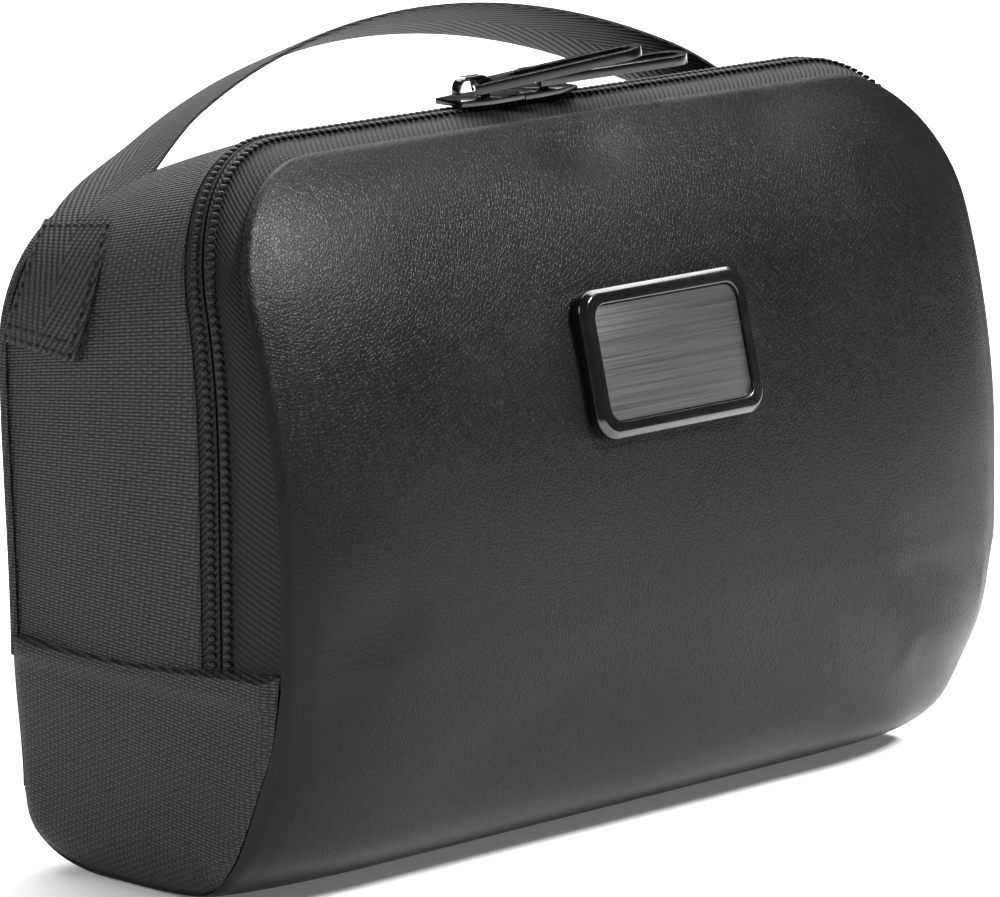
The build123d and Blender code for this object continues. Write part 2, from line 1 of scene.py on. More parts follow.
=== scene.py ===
"""Looks of the hanging toiletry bag: grained leather front, woven nylon sides, webbing strap, black zip."""

import sys

import json
import logging
import math
from dataclasses import dataclass
from enum import Enum

import bmesh
import bpy
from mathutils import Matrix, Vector

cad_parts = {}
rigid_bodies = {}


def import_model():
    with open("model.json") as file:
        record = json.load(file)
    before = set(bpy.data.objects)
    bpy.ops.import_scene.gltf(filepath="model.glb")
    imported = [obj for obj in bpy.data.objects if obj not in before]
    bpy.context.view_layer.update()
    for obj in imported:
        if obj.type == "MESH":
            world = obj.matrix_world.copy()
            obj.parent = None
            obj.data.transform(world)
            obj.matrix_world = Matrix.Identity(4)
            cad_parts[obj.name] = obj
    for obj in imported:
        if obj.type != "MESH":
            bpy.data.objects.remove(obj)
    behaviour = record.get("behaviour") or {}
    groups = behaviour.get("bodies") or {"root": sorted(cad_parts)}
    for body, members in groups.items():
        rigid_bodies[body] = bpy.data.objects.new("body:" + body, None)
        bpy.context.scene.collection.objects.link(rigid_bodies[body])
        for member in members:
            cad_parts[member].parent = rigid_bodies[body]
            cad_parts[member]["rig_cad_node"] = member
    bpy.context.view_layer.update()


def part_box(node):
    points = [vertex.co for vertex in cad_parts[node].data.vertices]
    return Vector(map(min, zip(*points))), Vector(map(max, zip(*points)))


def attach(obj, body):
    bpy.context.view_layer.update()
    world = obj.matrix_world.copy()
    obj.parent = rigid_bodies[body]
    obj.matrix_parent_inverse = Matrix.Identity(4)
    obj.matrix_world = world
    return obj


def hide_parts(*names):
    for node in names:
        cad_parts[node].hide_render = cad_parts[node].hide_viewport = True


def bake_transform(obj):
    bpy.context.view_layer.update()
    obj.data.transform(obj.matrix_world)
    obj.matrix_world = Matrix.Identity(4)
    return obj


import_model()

log = logging.getLogger("toiletry_bag")

MM = 0.001
HINGE_Z = 57.0  # the front folds here, and the zip ends
SEAM_TOP = 177.0
RIDGE_TOP = 180.6
SIDE = 127.3  # half width at the leather's seam
MIDDLE = Vector((0.0, -8.0, 88.0))  # middle of the bag, which every panel faces away from
NARROWEST_SHEET = 10.5  # narrower cloth is a tape

Point = tuple[float, float, float]
Path = list[Point]


class Slot(str, Enum):
    """Names of the record's material slots."""

    LEATHER = "grained_leather"
    NYLON = "ballistic_nylon"
    LINING = "lining_twill"
    BINDING = "binding_tape"
    ELASTIC = "elastic_band"
    MESH = "pocket_mesh"
    TAPE = "zip_tape"
    COIL = "zip_coil"
    WEBBING = "strap_webbing"
    METAL = "black_metal"
    PLATE = "brushed_plate"


class Hold(str, Enum):
    """How a sheet of cloth is held."""

    STRETCHED = "stretched"
    GATHERED = "gathered"
    HUNG = "hung"


# ---- Small geometry ------------------------------------------------------------------------------


def rgb(colour: str) -> tuple[float, float, float, float]:
    """Turns an sRGB hex colour into linear light.

    Args:
        colour: Six hex digits with a leading #.

    Returns:
        Linear red, green, blue and an alpha of one.
    """
    parts = [int(colour[i : i + 2], 16) / 255 for i in (1, 3, 5)]
    low, high = [p / 12.92 for p in parts], [((p + 0.055) / 1.055) ** 2.4 for p in parts]
    return (*[a if p <= 0.04045 else b for p, a, b in zip(parts, low, high)], 1.0)


def mix(a: float, b: float, t: float) -> float:
    """Returns the value a share t of the way from a to b."""
    return a + (b - a) * t


def ease(t: float) -> float:
    """Returns a smooth step of t, held between 0 and 1."""
    t = min(max(t, 0.0), 1.0)
    return t * t * (3 - 2 * t)


def rounded(distance: float, reach: float) -> float:
    """How full a puffed panel is at a distance from its seam.

    Args:
        distance: Distance in from the seam.
        reach: Distance at which the panel is at its fullest.

    Returns:
        A share from 0 at the seam to 1.
    """
    t = min(max(distance / reach, 0.0), 1.0)
    return math.sqrt(max(0.0, 1 - (1 - t) ** 2))


def spline(points: list[tuple[float, ...]], step: float) -> list[tuple[float, ...]]:
    """Runs a smooth line through given points.

    Args:
        points: The points that it passes through, of any dimension.
        step: Rough distance between the points returned.

    Returns:
        Points along the line, the first and last kept.
    """
    ends = [points[0], *points, points[-1]]
    made = []
    for a, b, c, d in zip(ends, ends[1:], ends[2:], ends[3:]):
        count = max(1, round(math.dist(b, c) / step))
        for i in range(count):
            t = i / count
            made.append(
                tuple(
                    0.5 * (2 * q + (r - p) * t + (2 * p - 5 * q + 4 * r - s) * t**2 + (3 * q - p - 3 * r + s) * t**3)
                    for p, q, r, s in zip(a, b, c, d)
                )
            )
    return [*made, points[-1]]


def seam_y(z: float) -> float:
    """Returns the depth of the leather's side seam at a height over the hinge."""
    return -52.3 + 0.0027 * max(z - 80, 0) ** 2


def chain_y(z: float) -> float:
    """Returns the depth of the zip's middle at a height."""
    return -32.8 + 0.0000293 * max(z - 95, 0) ** 3


# ---- Meshes --------------------------------------------------------------------------------------


def link(name: str, mesh: bpy.types.Mesh) -> bpy.types.Object:
    """Puts a finished mesh in the scene as a piece at the origin."""
    piece = bpy.data.objects.new(name, mesh)
    bpy.context.scene.collection.objects.link(piece)
    return piece


def settle(piece: bpy.types.Object, angle: float = 50.0) -> bpy.types.Object:
    """Applies a piece's modifiers and smooths its shading.

    Args:
        piece: The piece, whose modifiers are all applied.
        angle: Edges sharper than this many degrees stay sharp.

    Returns:
        The same piece with a plain mesh.
    """
    graph = bpy.context.evaluated_depsgraph_get()
    mesh = bpy.data.meshes.new_from_object(piece.evaluated_get(graph), preserve_all_data_layers=True, depsgraph=graph)
    piece.modifiers.clear()
    piece.data = mesh
    mesh.name = piece.name
    mesh.polygons.foreach_set("use_smooth", [True] * len(mesh.polygons))
    mesh.set_sharp_from_angle(angle=math.radians(angle))
    return piece


def grid_mesh(name: str, rows: list[Path], pole: bool = False) -> bpy.types.Mesh:
    """Makes cloth from rows of points, with the cloth's own coordinates in metres as its UV map.

    Args:
        name: Name of the mesh.
        rows: Rows of equal length, in millimetres.
        pole: True where the rows are rings round a middle, so that each one closes.

    Returns:
        The mesh, facing away from the bag's middle.
    """
    wide = len(rows[0])
    middle = wide // 2
    mid_row = rows[len(rows) // 2]
    across = [0.0]
    for a, b in zip(mid_row, mid_row[1:]):
        across.append(across[-1] + math.dist(a, b))
    along = [0.0]
    for a, b in zip(rows, rows[1:]):
        along.append(along[-1] + math.dist(a[middle], b[middle]))
    bm = bmesh.new()
    uv = bm.loops.layers.uv.new("UVMap")
    verts = [[bm.verts.new(Vector(p) * MM) for p in row] for row in rows]
    for i in range(len(rows) - 1):
        for j in range(wide - 1):
            corners = ((i, j), (i, j + 1), (i + 1, j + 1), (i + 1, j))
            quad = [verts[a][b] for a, b in corners]
            if len({tuple(round(c, 7) for c in v.co) for v in quad}) < 3:
                continue
            face = bm.faces.new(quad)
            for loop, (a, b) in zip(face.loops, corners):
                if pole:
                    loop[uv].uv = (rows[a][b][2] * MM, rows[a][b][1] * MM)
                else:
                    loop[uv].uv = (across[b] * MM, along[a] * MM)
    bmesh.ops.remove_doubles(bm, verts=bm.verts[:], dist=1e-6)
    bmesh.ops.recalc_face_normals(bm, faces=bm.faces[:])
    facing = sum((f.calc_center_median() - MIDDLE * MM).dot(f.normal) * f.calc_area() for f in bm.faces)
    if facing < 0:
        bmesh.ops.reverse_faces(bm, faces=bm.faces[:])
    mesh = bpy.data.meshes.new(name)
    bm.to_mesh(mesh)
    bm.free()
    return mesh


def cloth(name: str, rows: list[Path], thick: float, pole: bool = False) -> bpy.types.Object:
    """Makes a panel of cloth or leather of a real thickness, grown inwards from its face.

    Args:
        name: Name of the piece.
        rows: Rows of points of its outer face, in millimetres.
        thick: Thickness in millimetres.
        pole: True where the rows are rings round a middle.

    Returns:
        The closed piece.
    """
    piece = link(name, grid_mesh(name, rows, pole))
    wall = piece.modifiers.new("wall", "SOLIDIFY")
    wall.thickness = thick * MM
    wall.offset = -1
    wall.use_even_offset = False
    return settle(piece)


def surface_area(rows: list[Path]) -> float:
    """Returns the area in square metres of the face that rows of points span."""
    total = 0.0
    for upper, lower in zip(rows, rows[1:]):
        for a, b, c, d in zip(upper, upper[1:], lower[1:], lower):
            first, second = Vector(c) - Vector(a), Vector(d) - Vector(b)
            total += first.cross(second).length / 2
    return total * MM * MM


def declare(piece: bpy.types.Object, rows: list[Path]) -> None:
    """Logs the flat size that a sheet's rows have, or that a narrow piece is a tape.

    Args:
        piece: The sheet.
        rows: The points of its face.
    """
    width = max(sum(math.dist(a, b) for a, b in zip(row, row[1:])) for row in rows)
    columns = list(zip(*rows))
    length = max(sum(math.dist(a, b) for a, b in zip(c, c[1:])) for c in columns)
    if length < NARROWEST_SHEET or width < NARROWEST_SHEET:
        log.info("%s is a tape %.1f mm wide", piece.name, min(length, width))
        return
    area = min(surface_area(rows), width * length * MM * MM)
    area = max(area, 0.31 * width * length * MM * MM)
    log.info("%s flat %.0f x %.0f mm, %.4f m2", piece.name, width, length, area)


def ribbon(path: Path, across: list[Vector], width: float, thick: float) -> list[Path]:
    """Sweeps a flat band with rounded selvedges along a path.

    Args:
        path: Middle line, in millimetres.
        across: Unit direction across the band at each point.
        width: Width of the band.
        thick: Its thickness.

    Returns:
        One closed ring of points for each point of the path.
    """
    rings = []
    half, edge = width / 2, thick / 2
    for i, middle in enumerate(path):
        before, after = Vector(path[max(i - 1, 0)]), Vector(path[min(i + 1, len(path) - 1)])
        side = across[i].normalized()
        normal = (after - before).normalized().cross(side).normalized()
        ring = []
        for sign in (1, -1):
            for j in range(13):
                place = sign * mix(-1, 1, j / 12)
                lift = edge * (0.55 if j in (0, 12) else 0.92 if j in (1, 11) else 1.0)
                ring.append(tuple(Vector(middle) + side * half * place + normal * lift * sign))
        rings.append([*ring, ring[0]])
    return rings


def band(name: str, path: Path, across: list[Vector], width: float, thick: float) -> bpy.types.Object:
    """Makes a closed length of webbing, with the cloth's own coordinates as its UV map.

    Args:
        name: Name of the piece.
        path: Middle line, in millimetres.
        across: Unit direction across the band at each point.
        width: Width of the band.
        thick: Its thickness.

    Returns:
        The closed piece.
    """
    rings = ribbon(path, across, width, thick)
    bm = bmesh.new()
    uv = bm.loops.layers.uv.new("UVMap")
    along = [0.0]
    for a, b in zip(path, path[1:]):
        along.append(along[-1] + math.dist(a, b))
    count = len(rings[0]) - 1
    verts = [[bm.verts.new(Vector(p) * MM) for p in ring[:-1]] for ring in rings]
    for i in range(len(rings) - 1):
        for j in range(count):
            k = (j + 1) % count
            face = bm.faces.new((verts[i][j], verts[i][k], verts[i + 1][k], verts[i + 1][j]))
            for loop, (a, b) in zip(face.loops, ((i, j), (i, j + 1), (i + 1, j + 1), (i + 1, j))):
                side = b / 12 if b <= 12 else 2 - (b - 1) / 12
                loop[uv].uv = (side * width * MM, along[a] * MM)
    for end in (verts[0], verts[-1]):
        for j in range(12):
            bm.faces.new((end[j], end[j + 1], end[24 - j], end[25 - j]))
    bmesh.ops.recalc_face_normals(bm, faces=bm.faces[:])
    mesh = bpy.data.meshes.new(name)
    bm.to_mesh(mesh)
    bm.free()
    return settle(link(name, mesh), 60)


# ---- Geometry Nodes: one shape repeated along a line ----------------------------------------------


def add(tree: bpy.types.NodeTree, kind: str, inputs: dict | None = None, **settings: object) -> bpy.types.Node:
    """Adds a node with its settings and links.

    Args:
        tree: The tree that it goes in.
        kind: Blender's name of the node type.
        inputs: Socket name or number to a value, an output socket, or a node whose first output is used.
        settings: Properties of the node.

    Returns:
        The node.
    """
    made = tree.nodes.new(kind)
    for name, value in settings.items():
        setattr(made, name, value)
    for key, value in (inputs or {}).items():
        socket = made.inputs[key]
        if isinstance(value, bpy.types.Node):
            value = value.outputs[0]
        if isinstance(value, bpy.types.NodeSocket):
            tree.links.new(value, socket)
        else:
            socket.default_value = value
    return made


@dataclass
class Repeat:
    """A tree that sets one small rounded shape at even steps along a line, turned to face outwards."""

    name: str = "repeat_along_line"
    tree: bpy.types.NodeTree | None = None

    def build(self) -> bpy.types.NodeTree:
        """Builds the tree once.

        Returns:
            The node tree.
        """
        if self.tree is not None:
            return self.tree
        tree = self.tree = bpy.data.node_groups.new(self.name, "GeometryNodeTree")
        face = tree.interface
        face.new_socket("Line", in_out="INPUT", socket_type="NodeSocketGeometry")
        face.new_socket("Spacing", in_out="INPUT", socket_type="NodeSocketFloat")
        face.new_socket("Size", in_out="INPUT", socket_type="NodeSocketVector")
        face.new_socket("Middle", in_out="INPUT", socket_type="NodeSocketVector")
        face.new_socket("Finish", in_out="INPUT", socket_type="NodeSocketMaterial")
        face.new_socket("Shapes", in_out="OUTPUT", socket_type="NodeSocketGeometry")
        given = add(tree, "NodeGroupInput")
        line = add(tree, "GeometryNodeMeshToCurve", {"Mesh": given.outputs["Line"]})
        steps = add(tree, "GeometryNodeResampleCurve", {"Curve": line, "Length": given.outputs["Spacing"]}, mode="LENGTH")
        tangent = add(tree, "GeometryNodeInputTangent")
        place = add(tree, "GeometryNodeInputPosition")
        outward = add(tree, "ShaderNodeVectorMath", {0: place, 1: given.outputs["Middle"]}, operation="SUBTRACT")
        run = add(tree, "FunctionNodeAlignRotationToVector", {"Vector": tangent}, axis="Z")
        turn = add(
            tree,
            "FunctionNodeAlignRotationToVector",
            {"Rotation": run, "Vector": outward},
            axis="X",
            pivot_axis="Z",
        )
        bead = add(tree, "GeometryNodeMeshUVSphere", {"Segments": 8, "Rings": 5, "Radius": 0.5})
        spread = add(
            tree,
            "GeometryNodeInstanceOnPoints",
            {"Points": steps, "Instance": bead.outputs["Mesh"], "Rotation": turn, "Scale": given.outputs["Size"]},
        )
        real = add(tree, "GeometryNodeRealizeInstances", {"Geometry": spread})
        smooth = add(tree, "GeometryNodeSetShadeSmooth", {"Geometry": real})
        dressed = add(tree, "GeometryNodeSetMaterial", {"Geometry": smooth, "Material": given.outputs["Finish"]})
        add(tree, "NodeGroupOutput", {"Shapes": dressed})
        return tree

    def run(
        self, name: str, lines: list[Path], spacing: float, size: Point, finish: bpy.types.Material
    ) -> bpy.types.Object:
        """Sets the shape along some lines and turns the result into a plain mesh.

        Args:
            name: Name of the piece.
            lines: Paths in millimetres.
            spacing: Step between shapes, in millimetres.
            size: Size of the shape outwards, across the line and along it, in millimetres.
            finish: Its material.

        Returns:
            The piece.
        """
        bm = bmesh.new()
        for path in lines:
            verts = [bm.verts.new(Vector(p) * MM) for p in path]
            for a, b in zip(verts, verts[1:]):
                bm.edges.new((a, b))
        mesh = bpy.data.meshes.new(name)
        bm.to_mesh(mesh)
        bm.free()
        piece = link(name, mesh)
        nodes = piece.modifiers.new("repeat", "NODES")
        nodes.node_group = self.build()
        sockets = {s.name: s.identifier for s in nodes.node_group.interface.items_tree if s.in_out == "INPUT"}
        nodes[sockets["Spacing"]] = spacing * MM
        nodes[sockets["Size"]] = [s * MM for s in size]
        nodes[sockets["Middle"]] = list(MIDDLE * MM)
        nodes[sockets["Finish"]] = finish
        graph = bpy.context.evaluated_depsgraph_get()
        made = bpy.data.meshes.new_from_object(piece.evaluated_get(graph), preserve_all_data_layers=True, depsgraph=graph)
        piece.modifiers.clear()
        piece.data = made
        log.info("%s has %d faces", name, len(made.polygons))
        return piece


# ---- Finishes ------------------------------------------------------------------------------------


def blank(name: str) -> tuple[bpy.types.Material, bpy.types.NodeTree, bpy.types.Node]:
    """Starts a material.

    Args:
        name: Its name.

    Returns:
        The material, its tree and its shader.
    """
    material = bpy.data.materials.new(name)
    material.use_nodes = True
    tree = material.node_tree
    tree.nodes.clear()
    shader = add(tree, "ShaderNodeBsdfPrincipled")
    add(tree, "ShaderNodeOutputMaterial", {"Surface": shader})
    return material, tree, shader


@dataclass(frozen=True)
class Leather:
    """Chrome-tanned cowhide, plated with a fine pebble grain: near black, with a soft half-matt sheen."""

    name: str = "grained_cowhide"
    dark: str = "#070708"
    light: str = "#131314"
    pebble_mm: float = 0.95
    rough: float = 0.37
    depth: float = 0.055

    def build(self) -> bpy.types.Material:
        """Builds the material.

        Returns:
            The material.
        """
        material, tree, shader = blank(self.name)
        uv = add(tree, "ShaderNodeUVMap", uv_map="UVMap")
        stretch = add(tree, "ShaderNodeTexNoise", {"Vector": uv, "Scale": 1 / (6 * MM), "Detail": 2.0})
        shifted = add(
            tree,
            "ShaderNodeVectorMath",
            {0: stretch.outputs["Color"], 1: (0.0006, 0.0006, 0.0), 2: uv},
            operation="MULTIPLY_ADD",
        )
        pebbles = add(
            tree,
            "ShaderNodeTexVoronoi",
            {"Vector": shifted, "Scale": 1 / (self.pebble_mm * MM), "Randomness": 1.0},
            feature="DISTANCE_TO_EDGE",
        )
        crease = add(
            tree,
            "ShaderNodeMapRange",
            {"Value": pebbles.outputs["Distance"], "From Min": 0.0, "From Max": 0.22, "To Min": 0.0, "To Max": 1.0},
            interpolation_type="SMOOTHSTEP",
        )
        pores = add(tree, "ShaderNodeTexNoise", {"Vector": uv, "Scale": 1 / (0.5 * MM), "Detail": 3.0})
        height = add(tree, "ShaderNodeMath", {0: pores, 1: 0.35, 2: crease}, operation="MULTIPLY_ADD")
        clouds = add(tree, "ShaderNodeTexNoise", {"Vector": uv, "Scale": 1 / (38 * MM), "Detail": 4.0})
        # Painted shade: the colour is darker in the pebble creases, mixed with random cloudy tone.
        shade = add(tree, "ShaderNodeMath", {0: crease, 1: 0.45, 2: 0.1}, operation="MULTIPLY_ADD")
        tone_and_painted_shade = add(tree, "ShaderNodeMath", {0: clouds, 1: 0.6, 2: shade}, operation="MULTIPLY_ADD")
        colour = add(tree, "ShaderNodeMix", {0: tone_and_painted_shade, 6: rgb(self.dark), 7: rgb(self.light)}, data_type="RGBA")
        tree.links.new(colour.outputs[2], shader.inputs["Base Color"])
        gloss = add(
            tree,
            "ShaderNodeMapRange",
            {"Value": clouds, "From Min": 0.3, "From Max": 0.7, "To Min": self.rough - 0.04, "To Max": self.rough + 0.06},
        )
        tree.links.new(gloss.outputs[0], shader.inputs["Roughness"])
        bump = add(tree, "ShaderNodeBump", {"Strength": 0.75, "Distance": self.depth * MM, "Height": height})
        tree.links.new(bump.outputs[0], shader.inputs["Normal"])
        shader.inputs["IOR"].default_value = 1.48
        shader.inputs["Specular IOR Level"].default_value = 0.16
        return material


@dataclass(frozen=True)
class Woven:
    """Cloth of crossing threads, each showing where it passes over: basket, twill or herringbone; its colour has
    painted glints on the thread tops and painted shade between the threads.
    """

    name: str
    dark: str
    light: str
    warp_mm: float
    weft_mm: float
    slant: float = 0.0
    twill: float = 0.0
    chevron_mm: float = 0.0
    rough: float = 0.62
    depth: float = 0.25
    sheen: float = 0.15

    def build(self) -> bpy.types.Material:
        """Builds the material.

        Returns:
            The material.
        """
        material, tree, shader = blank(self.name)
        uv = add(tree, "ShaderNodeUVMap", uv_map="UVMap")
        turned = add(tree, "ShaderNodeMapping", {"Vector": uv, "Rotation": (0.0, 0.0, math.radians(self.slant))})
        parts = add(tree, "ShaderNodeSeparateXYZ", {"Vector": turned})
        u = add(tree, "ShaderNodeMath", {0: parts.outputs[0], 1: 1 / (self.warp_mm * MM)}, operation="MULTIPLY")
        v = add(tree, "ShaderNodeMath", {0: parts.outputs[1], 1: 1 / (self.weft_mm * MM)}, operation="MULTIPLY")
        if self.chevron_mm:
            fold = add(
                tree,
                "ShaderNodeMath",
                {0: parts.outputs[0], 1: self.chevron_mm * MM},
                operation="PINGPONG",
            )
            lean = add(tree, "ShaderNodeMath", {0: fold, 1: 1 / (self.warp_mm * MM)}, operation="MULTIPLY")
        else:
            lean = u
        if self.twill:
            sway = add(tree, "ShaderNodeMath", {0: lean, 1: self.twill, 2: v}, operation="MULTIPLY_ADD")
        else:
            sway = v
        ribs = self.wave(tree, sway)
        threads = self.wave(tree, u)
        cells = add(tree, "ShaderNodeCombineXYZ", {"X": u, "Y": sway, "Z": 0.5})
        squares = {"Vector": cells, "Scale": 1.0, "Color1": (1, 1, 1, 1), "Color2": (0, 0, 0, 1)}
        over = add(tree, "ShaderNodeTexChecker", squares)
        low = add(tree, "ShaderNodeMath", {0: threads, 1: 0.55}, operation="MULTIPLY")
        top = add(tree, "ShaderNodeMath", {0: ribs, 1: threads}, operation="MULTIPLY")
        if self.twill:
            cross = self.wave(tree, add(tree, "ShaderNodeMath", {0: parts.outputs[1], 1: 1 / MM}, operation="MULTIPLY"))
            shallow = add(tree, "ShaderNodeMath", {0: cross, 1: 0.4, 2: 0.6}, operation="MULTIPLY_ADD")
            low = top = add(tree, "ShaderNodeMath", {0: ribs, 1: shallow}, operation="MULTIPLY")
        high = add(tree, "ShaderNodeMix", {0: over.outputs["Fac"], 2: low, 3: top}, data_type="FLOAT")
        wear = add(tree, "ShaderNodeTexNoise", {"Vector": uv, "Scale": 1 / (22 * MM), "Detail": 3.0})
        fibre = add(tree, "ShaderNodeTexNoise", {"Vector": uv, "Scale": 1 / (0.8 * MM), "Detail": 1.0})
        # Painted glints and shade: the colour follows the thread height, lighter on the thread tops and darker in the
        # gaps between threads.
        tone_and_painted_shade = add(tree, "ShaderNodeMath", {0: fibre, 1: high.outputs[0]}, operation="MULTIPLY")
        painted_thread_glint_and_shade = add(tree, "ShaderNodeMath", {0: tone_and_painted_shade, 1: 4.2, 2: -0.5}, operation="MULTIPLY_ADD", use_clamp=True)
        wear_and_painted_glint_shade = add(tree, "ShaderNodeMath", {0: wear, 1: 0.08, 2: painted_thread_glint_and_shade}, operation="MULTIPLY_ADD", use_clamp=True)
        colour = add(tree, "ShaderNodeMix", {0: wear_and_painted_glint_shade, 6: rgb(self.dark), 7: rgb(self.light)}, data_type="RGBA")
        tree.links.new(colour.outputs[2], shader.inputs["Base Color"])
        bump = add(tree, "ShaderNodeBump", {"Strength": 0.8, "Distance": self.depth * MM, "Height": high.outputs[0]})
        tree.links.new(bump.outputs[0], shader.inputs["Normal"])
        shader.inputs["Roughness"].default_value = self.rough
        shader.inputs["IOR"].default_value = 1.53
        shader.inputs["Specular IOR Level"].default_value = 0.2
        shader.inputs["Sheen Weight"].default_value = self.sheen
        shader.inputs["Sheen Roughness"].default_value = 0.5
        return material

    def wave(self, tree: bpy.types.NodeTree, value: bpy.types.Node) -> bpy.types.Node:
        """Adds a row of round thread tops, one for each whole step of a value.

        Args:
            tree: The material's tree.
            value: The value, one for each thread.

        Returns:
            The node that gives each thread's height.
        """
        angle = add(tree, "ShaderNodeMath", {0: value, 1: math.pi}, operation="MULTIPLY")
        turn = add(tree, "ShaderNodeMath", {0: angle}, operation="SINE")
        return add(tree, "ShaderNodeMath", {0: turn}, operation="ABSOLUTE")


@dataclass(frozen=True)
class Gloss:
    """Cast zinc or moulded part with a smooth dark coat, faintly uneven where it is handled."""

    name: str
    colour: str
    metallic: float
    rough: float
    coat: float = 0.0
    brushed_mm: float = 0.0

    def build(self) -> bpy.types.Material:
        """Builds the material.

        Returns:
            The material.
        """
        material, tree, shader = blank(self.name)
        place = add(tree, "ShaderNodeTexCoord")
        smears = add(tree, "ShaderNodeTexNoise", {"Vector": place.outputs["Object"], "Scale": 1 / (7 * MM), "Detail": 3.0})
        source = smears
        if self.brushed_mm:
            lines = add(
                tree,
                "ShaderNodeMapping",
                {"Vector": place.outputs["Object"], "Scale": (1 / (60 * MM), 1 / (8 * MM), 1 / (self.brushed_mm * MM))},
            )
            source = add(tree, "ShaderNodeTexNoise", {"Vector": lines, "Scale": 1.0, "Detail": 4.0, "Roughness": 0.7})
            bump = add(tree, "ShaderNodeBump", {"Strength": 0.5, "Distance": 0.03 * MM, "Height": source})
            tree.links.new(bump.outputs[0], shader.inputs["Normal"])
        pale = tuple(min(1.0, c * 1.7) for c in rgb(self.colour)[:3])
        colour = add(
            tree, "ShaderNodeMix", {0: source.outputs[0], 6: rgb(self.colour), 7: (*pale, 1.0)}, data_type="RGBA"
        )
        tree.links.new(colour.outputs[2], shader.inputs["Base Color"])
        gloss = add(
            tree,
            "ShaderNodeMapRange",
            {"Value": source.outputs[0], "From Min": 0.25, "From Max": 0.75, "To Min": self.rough * 0.7, "To Max": self.rough * 1.4},
        )
        tree.links.new(gloss.outputs[0], shader.inputs["Roughness"])
        shader.inputs["Metallic"].default_value = self.metallic
        shader.inputs["Coat Weight"].default_value = self.coat
        shader.inputs["Coat Roughness"].default_value = 0.08
        return material


@dataclass
class Finishes:
    """Every material of the bag, built once."""

    def __post_init__(self) -> None:
        """Builds the materials."""
        self.leather = Leather().build()
        # In each woven cloth the second colour is the painted glint on the thread tops and the first the painted shade
        # between the threads.
        self.nylon = Woven(
            "ballistic_nylon", "#030303", "#3a3a38", 0.8, 1.45, slant=6, rough=0.55, depth=0.3, sheen=0.0
        ).build()
        self.webbing = Woven(
            "herringbone_nylon_webbing", "#030303", "#303030", 1.9, 5.2, twill=1.0, chevron_mm=12.7, depth=0.4, sheen=0.0
        ).build()
        self.tape = Woven("woven_zip_tape", "#020202", "#0b0b0b", 1.7, 2.4, twill=1.0, depth=0.3, sheen=0.0).build()
        self.lining = Woven(
            "polyester_twill_lining", "#101012", "#303034", 0.5, 0.5, twill=1.0, depth=0.1, rough=0.5, sheen=0.0
        ).build()
        self.binding = Woven("grosgrain_binding", "#080808", "#1e1e1e", 0.6, 1.1, depth=0.25, sheen=0.0).build()
        self.elastic = Woven("knitted_elastic", "#0b0b0b", "#242424", 0.9, 0.7, depth=0.3, sheen=0.0).build()
        self.mesh = Woven("knitted_pocket_mesh", "#070708", "#37373a", 1.6, 1.6, slant=45, depth=0.4, sheen=0.0).build()
        self.thread = Woven(
            "bonded_nylon_thread", "#0a0a0a", "#222222", 0.4, 0.4, depth=0.05, rough=0.45, sheen=0.0
        ).build()
        self.coil = Gloss("wound_nylon_coil", "#101011", 0.0, 0.35).build()
        self.metal = Gloss("black_plated_zinc", "#0b0b0c", 0.6, 0.14, coat=0.7).build()
        self.bezel = Gloss("gloss_black_enamel", "#050506", 0.0, 0.2, coat=0.6).build()
        self.plate = Gloss("brushed_gunmetal_plate", "#4e4e4e", 0.9, 0.4, brushed_mm=0.3).build()


# ---- The bag's surfaces --------------------------------------------------------------------------


@dataclass
class Row:
    """One line of the leather from side to side: where its ends and its middle lie."""

    end: tuple[float, float]
    middle: tuple[float, float]
    half: float


